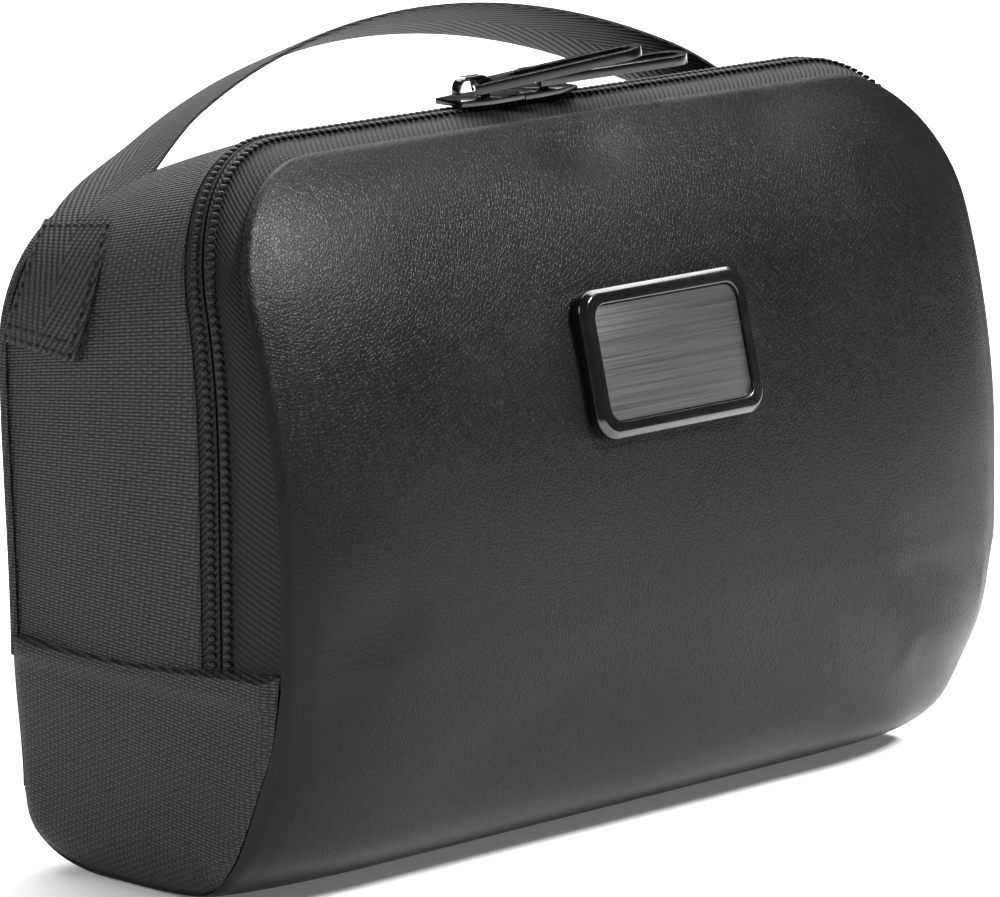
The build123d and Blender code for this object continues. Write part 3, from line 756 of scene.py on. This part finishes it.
@dataclass
class Form:
    """The bag's outer shape, in millimetres, that every soft piece follows."""

    corner: float = 35.0
    swell: float = 7.4
    low_swell: float = 0.031
    reach: float = 48.0
    step: float = 2.6
    tuck: float = 5.0

    def wrap_rows(self) -> list[Row]:
        """Lays out the leather from its top seam, down the front, under the bag and up its back.

        Returns:
            Its rows in order.
        """
        rows = []
        centre = SEAM_TOP - self.corner
        for i in range(19):
            angle = i / 18 * math.pi / 2
            z = centre + self.corner * math.cos(angle)
            rows.append(self.front_row(z, SIDE - self.corner + self.corner * math.sin(angle)))
        count = round((centre - HINGE_Z) / self.step)
        rows += [self.front_row(mix(centre, HINGE_Z, (i + 1) / count), SIDE) for i in range(count - 1)]
        low = [
            (-52.3, 57, -61.2, 57, SIDE),
            (-49.6, 44, -59.8, 43, SIDE),
            (-45.4, 33, -56.6, 31, 127.2),
            (-38.0, 16.4, -47.6, 14.4, 126.8),
            (-32.0, 8.6, -39.6, 7.0, 126.0),
            (-24.0, 3.0, -29.0, 2.0, 124.6),
            (-12.0, 0.9, -14.5, 0.15, 123.0),
            (4.0, 0.5, 3.0, 0.0, 122.5),
            (20.0, 1.0, 20.0, 0.2, 122.6),
            (31.0, 4.4, 31.4, 3.4, 123.4),
            (37.4, 10.4, 38.2, 10.0, 124.2),
            (39.6, 18.6, 40.6, 18.6, 124.6),
        ]
        for y, z, mid_y, mid_z, half in spline(low, self.step):
            rows.append(Row((y, z), (mid_y, mid_z), half))
        return rows

    def front_row(self, z: float, half: float) -> Row:
        """Returns the leather's row at a height over the hinge."""
        full = self.swell + max(0.0, 119 - z) * self.low_swell
        y = seam_y(z)
        crown = 0.6 * ease((z - 168) / 9)
        return Row((y, z), (y - full * rounded(SEAM_TOP - z + 0.6, self.reach), z + crown), half)

    def wrap(self, inset: float = 0.0) -> list[Path]:
        """Gives the leather's face, or one that lies inside it.

        Args:
            inset: How far inside it lies.

        Returns:
            Rows of points.
        """
        rows = self.wrap_rows()
        columns = 112
        made = []
        for i, row in enumerate(rows):
            before, after = rows[max(i - 1, 0)], rows[min(i + 1, len(rows) - 1)]
            run = Vector((0, after.middle[0] - before.middle[0], after.middle[1] - before.middle[1])).normalized()
            out = Vector((0, run.z, -run.y))
            line = []
            half = row.half - inset * 0.9
            for j in range(columns + 1):
                angle = mix(-math.pi / 2, math.pi / 2, j / columns)
                share = 0.72 * math.sin(angle) + 0.28 * (2 * j / columns - 1)
                x = half * share
                edge = half - abs(x)
                full = rounded(edge, self.reach)
                y = mix(row.end[0], row.middle[0], full)
                z = mix(row.end[1], row.middle[1], full)
                point = Vector((x, y, z)) - out * inset * (0.45 + 0.55 * full)
                if not inset:
                    point += out * self.relief(x, point.y, point.z, min(edge, SEAM_TOP + 1 - z if z > 120 else edge))
                line.append(tuple(point))
            made.append(line)
        return made

    def relief(self, x: float, y: float, z: float, edge: float) -> float:
        """How far the leather stands out from its plain form: its rolled edge, dents and folds.

        Args:
            x: Place across the bag.
            y: Depth of the place.
            z: Its height.
            edge: Distance in from the seam.

        Returns:
            Millimetres outwards.
        """
        roll = 0.2 * math.exp(-(((edge - 1.5) / 1.1) ** 2)) - 0.1 * math.exp(-(((edge - 4.4) / 1.6) ** 2))
        dent = -1.5 * math.exp(-(((x + 6) / 17) ** 2) - ((z - 170) / 6) ** 2)
        dent -= 0.8 * math.exp(-(((x - 62) / 20) ** 2) - ((z - 171) / 7) ** 2)
        right = math.exp(-(((x - 104) / 20) ** 2) - ((z - 40) / 24) ** 2)
        fold = 1.3 * right * math.sin((x * 0.35 + z) / 5.5)
        left = math.exp(-(((x + 112) / 12) ** 2) - ((z - 62) / 30) ** 2)
        fold += 0.7 * left * math.sin((z - x * 0.2) / 7.5)
        slack = 0.35 * math.sin(x / 23 + 1.1) * math.sin(z / 19 + x / 61) * ease(edge / 25) * ease(z / 20)
        return roll * ease(z / 6) + dent + fold + slack

    def loop(
        self, widths: tuple[float, float], top: float, corner: float, depth: tuple[str, float], tuck: float = 0.0
    ) -> Path:
        """Runs one line round the bag from the left hem over the top to the right hem.

        Args:
            widths: Half width at the hem and at the shoulders.
            top: Height of its top.
            corner: Radius of its top corners.
            depth: Which line it follows, seam, chain or back, and how far behind it.
            tuck: How far it runs on under the hem.

        Returns:
            The line's points.
        """
        kind, behind = depth
        half = []
        centre = top - corner
        for i in range(30):
            z = mix(HINGE_Z - tuck, centre, i / 30)
            half.append((mix(widths[0], widths[1], ease(i / 30)), z))
        for i in range(17):
            angle = i / 16 * math.pi / 2
            half.append((widths[1] - corner + corner * math.cos(angle), centre + corner * math.sin(angle)))
        for i in range(24):
            half.append(((widths[1] - corner) * (1 - (i + 1) / 24), top))
        side = {"seam": seam_y, "chain": chain_y, "back": lambda z: 40.0}[kind]
        left = [(-x, side(z) + behind, z) for x, z in half]
        return [*left, *[(-x, y, z) for x, y, z in reversed(left[:-1])]]

    def seam(self, inset: float = 0.0, behind: float = 0.0) -> Path:
        """Returns the leather's seam line over the hinge, drawn in by inset."""
        return self.loop((SIDE - inset, SIDE - inset), SEAM_TOP - inset, self.corner - inset, ("seam", behind))

    def chain(self, inset: float = 0.0, behind: float = 0.0) -> Path:
        """Returns the zip's line, drawn in by inset and set back by behind."""
        fall = max(0.0, behind) * 0.3 + max(0.0, -behind) * 0.22
        tuck = self.tuck if behind > 0 else 0.0
        return self.loop((128.2 - inset, 128.8 - inset), RIDGE_TOP - inset - fall, 36 - inset, ("chain", behind), tuck)

    def back(self, inset: float = 0.0, ahead: float = 0.0) -> Path:
        """Returns the line of the back's edge, drawn in by inset."""
        return self.loop((127.2 - inset, 129.8 - inset), 161.0 - inset, 34 - inset, ("back", -ahead), self.tuck)

    def between(self, a: Path, b: Path, steps: int, puff: float = 0.0) -> list[Path]:
        """Spans two lines with rows, puffed outwards between them.

        Args:
            a: The first line.
            b: The last line.
            steps: Number of strips.
            puff: How far the middle row stands out.

        Returns:
            The rows.
        """
        rows = []
        for i in range(steps + 1):
            t = i / steps
            line = []
            for p, q in zip(a, b):
                point = Vector(p).lerp(Vector(q), t)
                away = Vector((point.x, 0, max(point.z - 110, 0))).normalized()
                line.append(tuple(point + away * puff * math.sin(math.pi * t)))
            rows.append(line)
        return rows

    def back_rows(self, inset: float = 0.0) -> list[Path]:
        """Gives the back panel's face, or one that lies inside it.

        Args:
            inset: How far inside it lies.

        Returns:
            Rows of points from its foot up.
        """
        made = []
        heights = [mix(18.8, 127, i / 36) for i in range(36)]
        heights += [127 + (34 - inset) * math.sin(i / 16 * math.pi / 2) for i in range(17)]
        for z in heights:
            half = mix(124.4, 127.2, ease((z - 18) / 38)) if z < HINGE_Z else mix(127.2, 129.8, ease((z - HINGE_Z) / 70))
            if z > 127:
                half = 95.8 + 34 * math.sqrt(max(0.0, 1 - ((z - 127) / (34 - inset)) ** 2))
            half -= inset
            line = []
            for j in range(65):
                angle = mix(-math.pi / 2, math.pi / 2, j / 64)
                x = half * (0.6 * math.sin(angle) + 0.4 * (2 * j / 64 - 1))
                full = rounded(half - abs(x), 40) * rounded(161.5 - z, 40) * rounded(z - 17, 60)
                slack = 0.5 * math.sin(x / 31) * math.sin(z / 27)
                line.append((x, 40.2 - inset + (3.0 + slack) * full, z))
            made.append(line)
        return made

    def cheek(self, side: int, inset: float = 0.0) -> list[Path]:
        """Gives one lower side panel as rings round its middle.

        Args:
            side: -1 on the left and 1 on the right.
            inset: How far inside it lies.

        Returns:
            Rings of points, the outer one first.
        """
        rim = [(-51.9, 60.5), (-49.4, 44), (-45.2, 33), (-37.8, 16.4), (-31.8, 8.6), (-24, 3.0), (-12, 1.0), (4, 0.6)]
        rim += [(20, 1.0), (31, 4.4), (37.4, 10.4), (39.6, 18.6), (40.0, 36), (40.0, 57.6)]
        round_rim = spline(rim, 2.4)
        top = [(mix(40.0, -51.9, i / 40), mix(57.6, 60.5, ease(i / 40) ** 3)) for i in range(1, 41)]
        outline = [*round_rim, *top]
        rings = []
        for i in range(15):
            t = 1 - i / 14
            ring = []
            for y, z in outline:
                py, pz = mix(-4, y, t), mix(34, z, t)
                front = mix(125.6, SIDE, ease(pz / 16))
                rear = mix(124.4, 127.2, ease((pz - 18) / 38))
                wide = mix(front, rear, ease((py + 50) / 92))
                tuck = 3.8 * (1 - min(pz / 11, 1)) ** 2
                hem = 1.5 * ease((pz - 50) / 4) * ease((1 - t) / 0.02)
                proud = 0.9 * ease((1 - t) / 0.06) + 1.1 * rounded((1 - t) * 40, 30) + hem
                slack = 0.5 * math.sin(py / 13 + pz / 9) * (1 - t)
                ring.append((side * (wide - tuck + proud + slack - inset), py, pz + inset * (0.4 if pz < 20 else 0)))
            rings.append([*ring])
        return rings


# ---- Sub-assemblies ------------------------------------------------------------------------------


def relax(piece: bpy.types.Object, held: set[int], cap: float, pressure: float) -> None:
    """Lets a padded panel swell and wrinkle as cloth, with some of its points sewn down.

    Args:
        piece: The open panel, before it gets its thickness.
        held: Numbers of the points that stay where they are.
        cap: The furthest that a point may move, in millimetres.
        pressure: Pressure from the padding behind it.
    """
    rest = [v.co.copy() for v in piece.data.vertices]
    pins = piece.vertex_groups.new(name="sewn")
    pins.add(sorted(held), 1.0, "REPLACE")
    sim = piece.modifiers.new("padding", "CLOTH")
    sim.settings.quality = 4
    sim.settings.vertex_group_mass = "sewn"
    sim.settings.use_pressure = True
    sim.settings.uniform_pressure_force = pressure
    sim.settings.effector_weights.gravity = 0.0
    sim.settings.bending_stiffness = 8.0
    sim.settings.tension_stiffness = 40.0
    sim.settings.compression_stiffness = 40.0
    sim.collision_settings.use_collision = False
    sim.collision_settings.use_self_collision = False
    for number in range(1, 21):
        bpy.context.scene.frame_set(number)
    graph = bpy.context.evaluated_depsgraph_get()
    moved = [v.co.copy() for v in piece.evaluated_get(graph).data.vertices]
    piece.modifiers.remove(sim)
    piece.vertex_groups.clear()
    bpy.context.scene.frame_set(1)
    for vertex, old, new in zip(piece.data.vertices, rest, moved):
        step = new - old
        if step.length > cap * MM:
            step *= cap * MM / step.length
        vertex.co = old + step


@dataclass
class Front:
    """The padded leather front and base, with its lining, pocket, binding and half of the zip."""

    form: Form
    finish: Finishes
    repeat: Repeat
    leather: float = 1.6
    lining: float = 0.6
    lining_in: float = 5.6
    fold_low: float = 46.0
    fold_high: float = 68.0

    def fold(self, piece: bpy.types.Object) -> None:
        """Bakes a piece's transform into its mesh."""
        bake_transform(piece)

    def build_leather(self) -> None:
        """Makes the leather from its top seam to the back, in one piece."""
        rows = self.form.wrap()
        piece = link("leather_front_and_base", grid_mesh("leather_front_and_base", rows))
        relax(piece, self.rim(piece), 1.6, 2.0)
        wall = piece.modifiers.new("wall", "SOLIDIFY")
        wall.thickness = self.leather * MM
        wall.offset = -1
        settle(piece, 60)
        piece.data.materials.append(self.finish.leather)
        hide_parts("front_leather", "base_leather")
        self.fold(piece)
        log.info("leather %d faces", len(piece.data.polygons))

    def rim(self, piece: bpy.types.Object) -> set[int]:
        """Returns the numbers of the points on a panel's open edge and within its rolled edge."""
        bm = bmesh.new()
        bm.from_mesh(piece.data)
        found = {v.index for v in bm.verts if v.is_boundary}
        for _ in range(4):
            found |= {e.other_vert(v).index for v in bm.verts if v.index in found for e in v.link_edges}
        found |= {v.index for v in bm.verts if v.co.z < 0.012}
        bm.free()
        return found

    def build_lining(self) -> None:
        """Makes the lining inside the leather."""
        rows = [row[::2] for row in self.form.wrap(self.lining_in)][4::2]
        piece = cloth("front_lining_cloth", rows, self.lining)
        piece.data.materials.append(self.finish.lining)
        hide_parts("front_lining", "front_foam", "front_board", "lower_front_foam", "base_board")
        self.fold(piece)
        declare(piece, rows)

    def build_binding(self) -> None:
        """Makes the binding that covers the flap's seam inside."""
        rows = self.form.between(self.form.seam(3.0, 1.2), self.form.seam(3.4, 7.0), 4)
        piece = cloth("front_seam_binding_tape", rows, 1.2)
        piece.data.materials.append(self.finish.binding)
        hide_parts("front_seam_binding")
        self.fold(piece)
        declare(piece, rows)

    def build_pocket(self) -> None:
        """Makes the mesh pocket across the inside of the flap, with its gathered elastic top."""
        low, high, half = HINGE_Z + 3, 126.0, 119.5
        rows = []
        for i in range(25):
            z = mix(low, high, i / 24)
            row = []
            for j in range(61):
                row.append((mix(-half, half, j / 60), seam_y(z) + 1.2 - 2.6 * math.sin(math.pi * j / 60), z))
            rows.append(row)
        piece = cloth("front_pocket_mesh", rows, 0.5)
        piece.data.materials.append(self.finish.mesh)
        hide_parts("front_mesh_pocket")
        self.fold(piece)
        declare(piece, rows)
        hem = []
        for i in range(7):
            z = mix(high + 0.2, high + 9, i / 6)
            line = []
            for j in range(181):
                t = j / 180
                gather = 0.35 * math.sin(t * 190) * math.sin(math.pi * i / 6)
                line.append((mix(-half, half, t), seam_y(z) + 1.2 - 2.6 * math.sin(math.pi * t) + gather, z))
            hem.append(line)
        top = cloth("front_pocket_elastic", hem, 1.4)
        top.data.materials.append(self.finish.elastic)
        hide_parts("mesh_pocket_elastic")
        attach(top, "flap")
        declare(top, hem)

    def build_zip(self) -> None:
        """Makes the front tape, its row of stitching loops and the coil behind it."""
        form = self.form
        split, rib, edge = form.chain(0.5, -0.35), form.chain(0.9, -3.6), form.seam(1.0, 0.6)
        rows = [*form.between(split, rib, 3, 0.35), *form.between(rib, edge, 8, 0.5)[1:]]
        piece = cloth("zip_tape_front_cloth", rows, 0.8)
        piece.data.materials.append(self.finish.tape)
        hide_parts("zip_tape_front")
        self.fold(piece)
        declare(piece, rows)
        loops = self.repeat.run("zip_loops_front", [form.chain(0.1, -2.6)], 2.1, (1.0, 2.5, 1.7), self.finish.thread)
        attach(loops, "flap")
        coil = self.repeat.run("zip_coil_front_loops", [form.chain(2.2, -1.5)], 1.5, (2.0, 3.0, 1.0), self.finish.coil)
        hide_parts("zip_coil_front")
        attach(coil, "flap")

    def build(self) -> None:
        """Builds the whole front."""
        self.build_leather()
        self.build_lining()
        self.build_binding()
        self.build_pocket()
        self.build_zip()


@dataclass
class Shell:
    """The nylon sides, top and back, with their lining and half of the zip."""

    form: Form
    finish: Finishes
    repeat: Repeat
    nylon: float = 1.2
    lining_in: float = 4.8

    def dress(self, piece: bpy.types.Object, finish: bpy.types.Material, nodes: list[str]) -> None:
        """Gives a body piece its finish, hides the CAD nodes that it replaces and attaches it to the body.

        Args:
            piece: The piece.
            finish: Its material.
            nodes: The CAD nodes that it replaces.
        """
        if not piece.data.materials:
            piece.data.materials.append(finish)
        if nodes:
            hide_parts(*nodes)
        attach(piece, "body")

    def build_gusset(self) -> None:
        """Makes the nylon band over the sides and top, with its folded edge beside the zip."""
        form = self.form
        front, back = form.chain(0.0, 6.6), form.back(0.0, 0.6)
        rows = [form.chain(1.3, 6.9), form.chain(0.25, 6.5), form.chain(-0.2, 7.2)]
        rows += form.between(form.chain(-0.1, 8.4), back, 20, 1.2)
        piece = cloth("gusset_band_cloth", rows, self.nylon)
        self.dress(piece, self.finish.nylon, ["gusset_band"])
        declare(piece, rows)
        inner = form.between(form.chain(self.lining_in, 7.4), form.back(self.lining_in, 5.6), 8)
        cover = cloth("gusset_lining_cloth", inner, 0.6)
        self.dress(cover, self.finish.lining, ["gusset_foam"])
        declare(cover, inner)
        log.info("gusset from %.1f", front[0][0])

    def build_cheeks(self) -> None:
        """Makes the lower side panels, which end in a folded hem under the zip."""
        for side, name in ((-1, "left"), (1, "right")):
            rings = self.form.cheek(side)
            piece = cloth(f"lower_gusset_{name}_cloth", [[*r, r[0]] for r in rings], self.nylon, pole=True)
            self.dress(piece, self.finish.nylon, [f"lower_gusset_{name}"])
            inner = self.form.cheek(side, self.lining_in)
            cover = cloth(f"lower_lining_{name}_cloth", [[*r, r[0]] for r in inner[1:]], 0.6, pole=True)
            self.dress(cover, self.finish.lining, [])

    def build_back(self) -> None:
        """Makes the back panel, its lining, its edge binding and the welt round it."""
        rows = self.form.back_rows()
        piece = cloth("back_panel_cloth", rows, self.nylon)
        self.dress(piece, self.finish.nylon, ["back_panel"])
        declare(piece, rows)
        inner = [row[::2] for row in self.form.back_rows(5.4)][::2]
        cover = cloth("body_lining_cloth", inner, 0.6)
        self.dress(cover, self.finish.lining, ["body_lining", "back_foam"])
        declare(cover, inner)
        form = self.form
        welt = form.between(form.back(-0.7, 2.2), form.back(-0.9, -0.1), 3, 0.25)
        edge = cloth("back_edge_welt_cloth", welt, 0.9)
        self.dress(edge, self.finish.nylon, ["back_edge_welt"])
        declare(edge, welt)
        inside = form.between(form.back(5.6, 12.0), form.back(5.9, 6.4), 3)
        tape = cloth("back_seam_binding_tape", inside, 1.2)
        self.dress(tape, self.finish.binding, ["back_seam_binding"])
        declare(tape, inside)

    def build_pocket(self) -> None:
        """Makes the slip pocket inside the back, with its elastic edge."""
        box_low, box_high = [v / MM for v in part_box("back_slip_pocket")]
        half, low, high = box_high.x, box_low.z, box_high.z
        rows = []
        for i in range(25):
            z = mix(low, high, i / 24)
            shape = rounded(z - low, 14)
            rows.append(
                [
                    (mix(-half, half, j / 60), 34.2 - 3.4 * min(shape, rounded(half * (1 - abs(j / 30 - 1)), 12)), z)
                    for j in range(61)
                ]
            )
        piece = cloth("back_slip_pocket_cloth", rows, 0.6)
        self.dress(piece, self.finish.lining, ["back_slip_pocket"])
        declare(piece, rows)
        hem = []
        for i in range(7):
            z = mix(high, high + 8.6, i / 6)
            hem.append(
                [
                    (mix(-half, half, j / 160), 30.9 + 0.35 * math.sin(j * 1.1) * math.sin(math.pi * i / 6), z)
                    for j in range(161)
                ]
            )
        top = cloth("back_pocket_elastic_band", hem, 1.4)
        self.dress(top, self.finish.elastic, ["back_pocket_elastic"])
        declare(top, hem)

    def build_zip(self) -> None:
        """Makes the rear tape, its loops, coil and bottom stops."""
        form = self.form
        rows = form.between(form.chain(0.5, 0.35), form.chain(0.7, 7.4), 6, 0.3)
        piece = cloth("zip_tape_rear_cloth", rows, 0.8)
        self.dress(piece, self.finish.tape, ["zip_tape_rear"])
        declare(piece, rows)
        loops = self.repeat.run("zip_loops_rear", [form.chain(0.1, 2.6)], 2.1, (1.0, 2.5, 1.7), self.finish.thread)
        self.dress(loops, self.finish.thread, [])
        coil = self.repeat.run("zip_coil_rear_loops", [form.chain(2.2, 1.5)], 1.5, (2.0, 3.0, 1.0), self.finish.coil)
        self.dress(coil, self.finish.coil, ["zip_coil_rear"])
        stops = self.repeat.run(
            "zip_stops", [[p for p in form.chain(2.0, 4.6)[:3]], form.chain(2.0, 4.6)[-3:]], 2.2, (1.8, 3.4, 2.6), self.finish.coil
        )
        self.dress(stops, self.finish.coil, ["zip_end_stops"])

    def build(self) -> None:
        """Builds the whole shell."""
        self.build_gusset()
        self.build_cheeks()
        self.build_back()
        self.build_pocket()
        self.build_zip()


@dataclass
class Strap:
    """The webbing handle, sewn down both sides of the bag, with a second ply over each end."""

    finish: Finishes
    repeat: Repeat
    width: float = 25.4
    ply: float = 1.3
    lean: float = 22.0
    sit_y: float = 24.4
    foot_z: float = 128.8
    centre: tuple[float, float] = (95.6, 130.8)
    turn: float = 35.4
    leave: float = 31.0
    rise: float = 1.10
    sway: float = 4.5
    stitch_inset: float = 1.6
    stitch_lift: float = 0.9

    def path(self, out: float = 0.0) -> tuple[Path, list[Vector]]:
        """Runs the strap's middle line from the left end over to the right one.

        Args:
            out: How far outside the first ply it runs.

        Returns:
            The line and the direction across it at each point.
        """
        turn = self.turn + out
        half = [(-(self.centre[0] + turn), mix(self.foot_z, self.centre[1], i / 2)) for i in range(2)]
        steps = 20
        for i in range(steps + 1):
            angle = math.radians((90 - self.leave) * i / steps)
            half.append((-(self.centre[0] + turn * math.cos(angle)), self.centre[1] + turn * math.sin(angle)))
        leave_x, leave_z = -half[-1][0], half[-1][1]
        stretch = leave_z - self.foot_z
        line = [(x, self.sit_y - self.sway * math.sin(math.pi * (z - self.foot_z) / stretch), z) for x, z in half]
        across = []
        for i in range(len(line)):
            tilt = math.radians(mix(-5, 8, ease(i / (len(line) - 1))))
            across.append(Vector((0, math.cos(tilt), -math.sin(tilt))))
        radius = leave_x / math.sin(math.radians(self.leave))
        drop = radius * math.cos(math.radians(self.leave))
        for i in range(1, 46):
            x = mix(-leave_x, 0, i / 45)
            v = (math.sqrt(radius**2 - x**2) - drop) * self.rise
            tilt = math.radians(mix(8, self.lean, ease(i / 12)))
            lean = math.radians(self.lean)
            line.append((x, self.sit_y + v * math.sin(lean), leave_z + v * math.cos(lean)))
            across.append(Vector((0, math.cos(tilt), -math.sin(tilt))))
        line += [(-x, y, z) for x, y, z in reversed(line[:-1])]
        across += list(reversed(across[:-1]))
        return line, across

    def build(self) -> None:
        """Makes the strap, the plies over its ends and their stitching."""
        line, across = self.path()
        strap = band("handle_webbing", line, across, self.width, self.ply)
        strap.data.materials.append(self.finish.webbing)
        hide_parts("handle_strap", "handle_end_left", "handle_end_right")
        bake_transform(strap)
        outer, over = self.path(self.ply + 0.1)
        for name, points, sides, sign in (("left", outer, over, -1), ("right", outer[::-1], over[::-1], 1)):
            count = 20
            patch = band(f"handle_patch_{name}", points[:count], sides[:count], self.width, self.ply)
            patch.data.materials.append(self.finish.webbing)
            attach(patch, "body")
            rows = []
            lift = Vector((sign * self.stitch_lift, 0, 0.2))
            reach = self.width / 2 - self.stitch_inset
            for place in (1, 3, count - 2):
                middle, side = Vector(points[place]), sides[place]
                rows.append([tuple(middle + side * reach * s + lift) for s in (-1, 1)])
            for s in (-1, 1):
                inner = zip(points[1 : count - 1], sides[1 : count - 1])
                rows.append([tuple(Vector(p) + a * reach * s + lift) for p, a in inner])
            thread = self.repeat.run(f"handle_stitches_{name}", rows, 2.6, (0.5, 0.6, 2.0), self.finish.thread)
            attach(thread, "body")


@dataclass
class Hardware:
    """The sliders, pullers, badge and hanging hook: rigid parts that keep the CAD's shape, edges eased."""

    finish: Finishes

    def ease_edges(self, node: str, body: str, finish: bpy.types.Material, width: float) -> bpy.types.Object:
        """Copies a rigid node, eases its edges and dresses it.

        Args:
            node: The CAD node.
            body: The body that it rides on.
            finish: Its material.
            width: Width of the eased edge, in millimetres.

        Returns:
            The new piece.
        """
        source = next(o for o in bpy.data.objects if o.get("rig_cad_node") == node)
        mesh = source.data.copy()
        mesh.materials.clear()
        bm = bmesh.new()
        bm.from_mesh(mesh)
        bmesh.ops.remove_doubles(bm, verts=bm.verts[:], dist=2e-6)
        bmesh.ops.dissolve_limit(bm, angle_limit=math.radians(1.0), verts=bm.verts[:], edges=bm.edges[:])
        bm.to_mesh(mesh)
        bm.free()
        piece = link(f"{node}_eased", mesh)
        bevel = piece.modifiers.new("eased", "BEVEL")
        bevel.width = width * MM
        bevel.segments = 3
        bevel.limit_method = "ANGLE"
        bevel.angle_limit = math.radians(35)
        bevel.use_clamp_overlap = True
        bevel.harden_normals = False
        settle(piece, 40)
        piece.data.materials.append(finish)
        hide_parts(node)
        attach(piece, body)
        return piece

    def build_tab(self) -> None:
        """Makes the webbing loop that the hook hangs in."""
        low, high = [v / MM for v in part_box("hook_tab")]
        radius = (high.y - low.y) / 2 - 0.6
        y, z = (low.y + high.y) / 2, high.z - radius - 0.6
        path = [(0.0, low.y + 0.6, mix(low.z, z, i / 6)) for i in range(6)]
        for i in range(20):
            angle = i / 20 * 1.62 * math.pi
            path.append((0.0, y - radius * math.cos(angle), z + radius * math.sin(angle)))
        tab = band("hook_tab_webbing", path, [Vector((1, 0, 0))] * len(path), high.x - low.x, 1.1)
        tab.data.materials.append(self.finish.webbing)
        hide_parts("hook_tab")
        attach(tab, "body")

    def build(self) -> None:
        """Builds all the rigid parts."""
        for side in ("left", "right"):
            for node, body, width in (
                (f"slider_body_{side}", f"{side}_slider", 0.35),
                (f"slider_crown_{side}", f"{side}_slider", 0.25),
                (f"puller_{side}", f"{side}_puller", 0.5),
            ):
                self.ease_edges(node, body, self.finish.metal, width)
        self.ease_edges("hook", "hanging_hook", self.finish.metal, 0.4)
        self.ease_edges("badge_bezel", "flap", self.finish.bezel, 0.35)
        self.ease_edges("badge_plate", "flap", self.finish.plate, 0.15)
        self.ease_edges("badge_backing_plate", "flap", self.finish.plate, 0.1)
        self.build_tab()


@dataclass
class Studio:
    """A pale floor, soft lights and the camera."""

    lens: float = 259.2
    distance: float = 1.79
    azimuth: float = -46.0
    elevation: float = 11.0
    target: Point = (0.0, 0.0, 0.09)

    def light(self, name: str, place: Point, size: float, power: float, aim: Point) -> None:
        """Adds one soft light.

        Args:
            name: Its name.
            place: Where it stands, in metres.
            size: Width of its face, in metres.
            power: Watts.
            aim: The point that it faces.
        """
        data = bpy.data.lights.new(name, "AREA")
        data.energy, data.size = power, size
        lamp = bpy.data.objects.new(name, data)
        bpy.context.scene.collection.objects.link(lamp)
        lamp.location = place
        lamp.rotation_euler = (Vector(aim) - Vector(place)).to_track_quat("-Z", "Y").to_euler()

    def build(self) -> None:
        """Makes the floor, the lights and the camera."""
        scene = bpy.context.scene
        bm = bmesh.new()
        bmesh.ops.create_grid(bm, x_segments=4, y_segments=4, size=6.0)
        mesh = bpy.data.meshes.new("floor")
        bm.to_mesh(mesh)
        bm.free()
        floor = link("floor", mesh)
        floor.location.z = -0.0002
        material, _, shader = blank("pale_floor")
        shader.inputs["Base Color"].default_value = rgb("#f6f6f6")
        shader.inputs["Roughness"].default_value = 0.95
        shader.inputs["Specular IOR Level"].default_value = 0.1
        shader.inputs["Emission Color"].default_value = (1.0, 1.0, 1.0, 1.0)
        shader.inputs["Emission Strength"].default_value = 0.12
        mesh.materials.append(material)
        world = bpy.data.worlds.new("studio")
        world.use_nodes = True
        world.node_tree.nodes.clear()
        sky = add(world.node_tree, "ShaderNodeBackground", {"Color": (1, 1, 1, 1), "Strength": 0.1})
        add(world.node_tree, "ShaderNodeOutputWorld", {"Surface": sky})
        scene.world = world
        self.light("overhead", (1.4, 1.7, 2.3), 3.4, 230, (1.2, 1.5, 0.0))
        self.light("key", (0.45, -0.95, 1.15), 0.35, 40.0, (-0.08, -0.05, 0.14))
        self.light("side", (-1.7, 0.2, 1.0), 0.8, 14, (-0.1, 0.0, 0.1))
        data = bpy.data.cameras.new("camera")
        data.lens, data.sensor_width, data.sensor_fit = self.lens, 36.0, "HORIZONTAL"
        data.clip_start, data.clip_end = 0.05, 50.0
        camera = bpy.data.objects.new("camera", data)
        scene.collection.objects.link(camera)
        a, e = math.radians(self.azimuth), math.radians(self.elevation)
        back = Vector((math.sin(a) * math.cos(e), -math.cos(a) * math.cos(e), math.sin(e)))
        camera.location = Vector(self.target) + back * self.distance
        camera.rotation_euler = (-back).to_track_quat("-Z", "Y").to_euler()
        scene.camera = camera
        scene.view_settings.view_transform = "Standard"


def main() -> None:
    """Builds the bag in order and reports its pieces."""
    logging.basicConfig(level=logging.INFO, stream=sys.stdout)
    Studio().build()
    form, finish, repeat = Form(), Finishes(), Repeat()
    for part in (
        Front(form, finish, repeat),
        Shell(form, finish, repeat),
        Strap(finish, repeat),
        Hardware(finish),
    ):
        part.build()
        log.info("%s built", type(part).__name__)


if __name__ == "__main__":
    main()
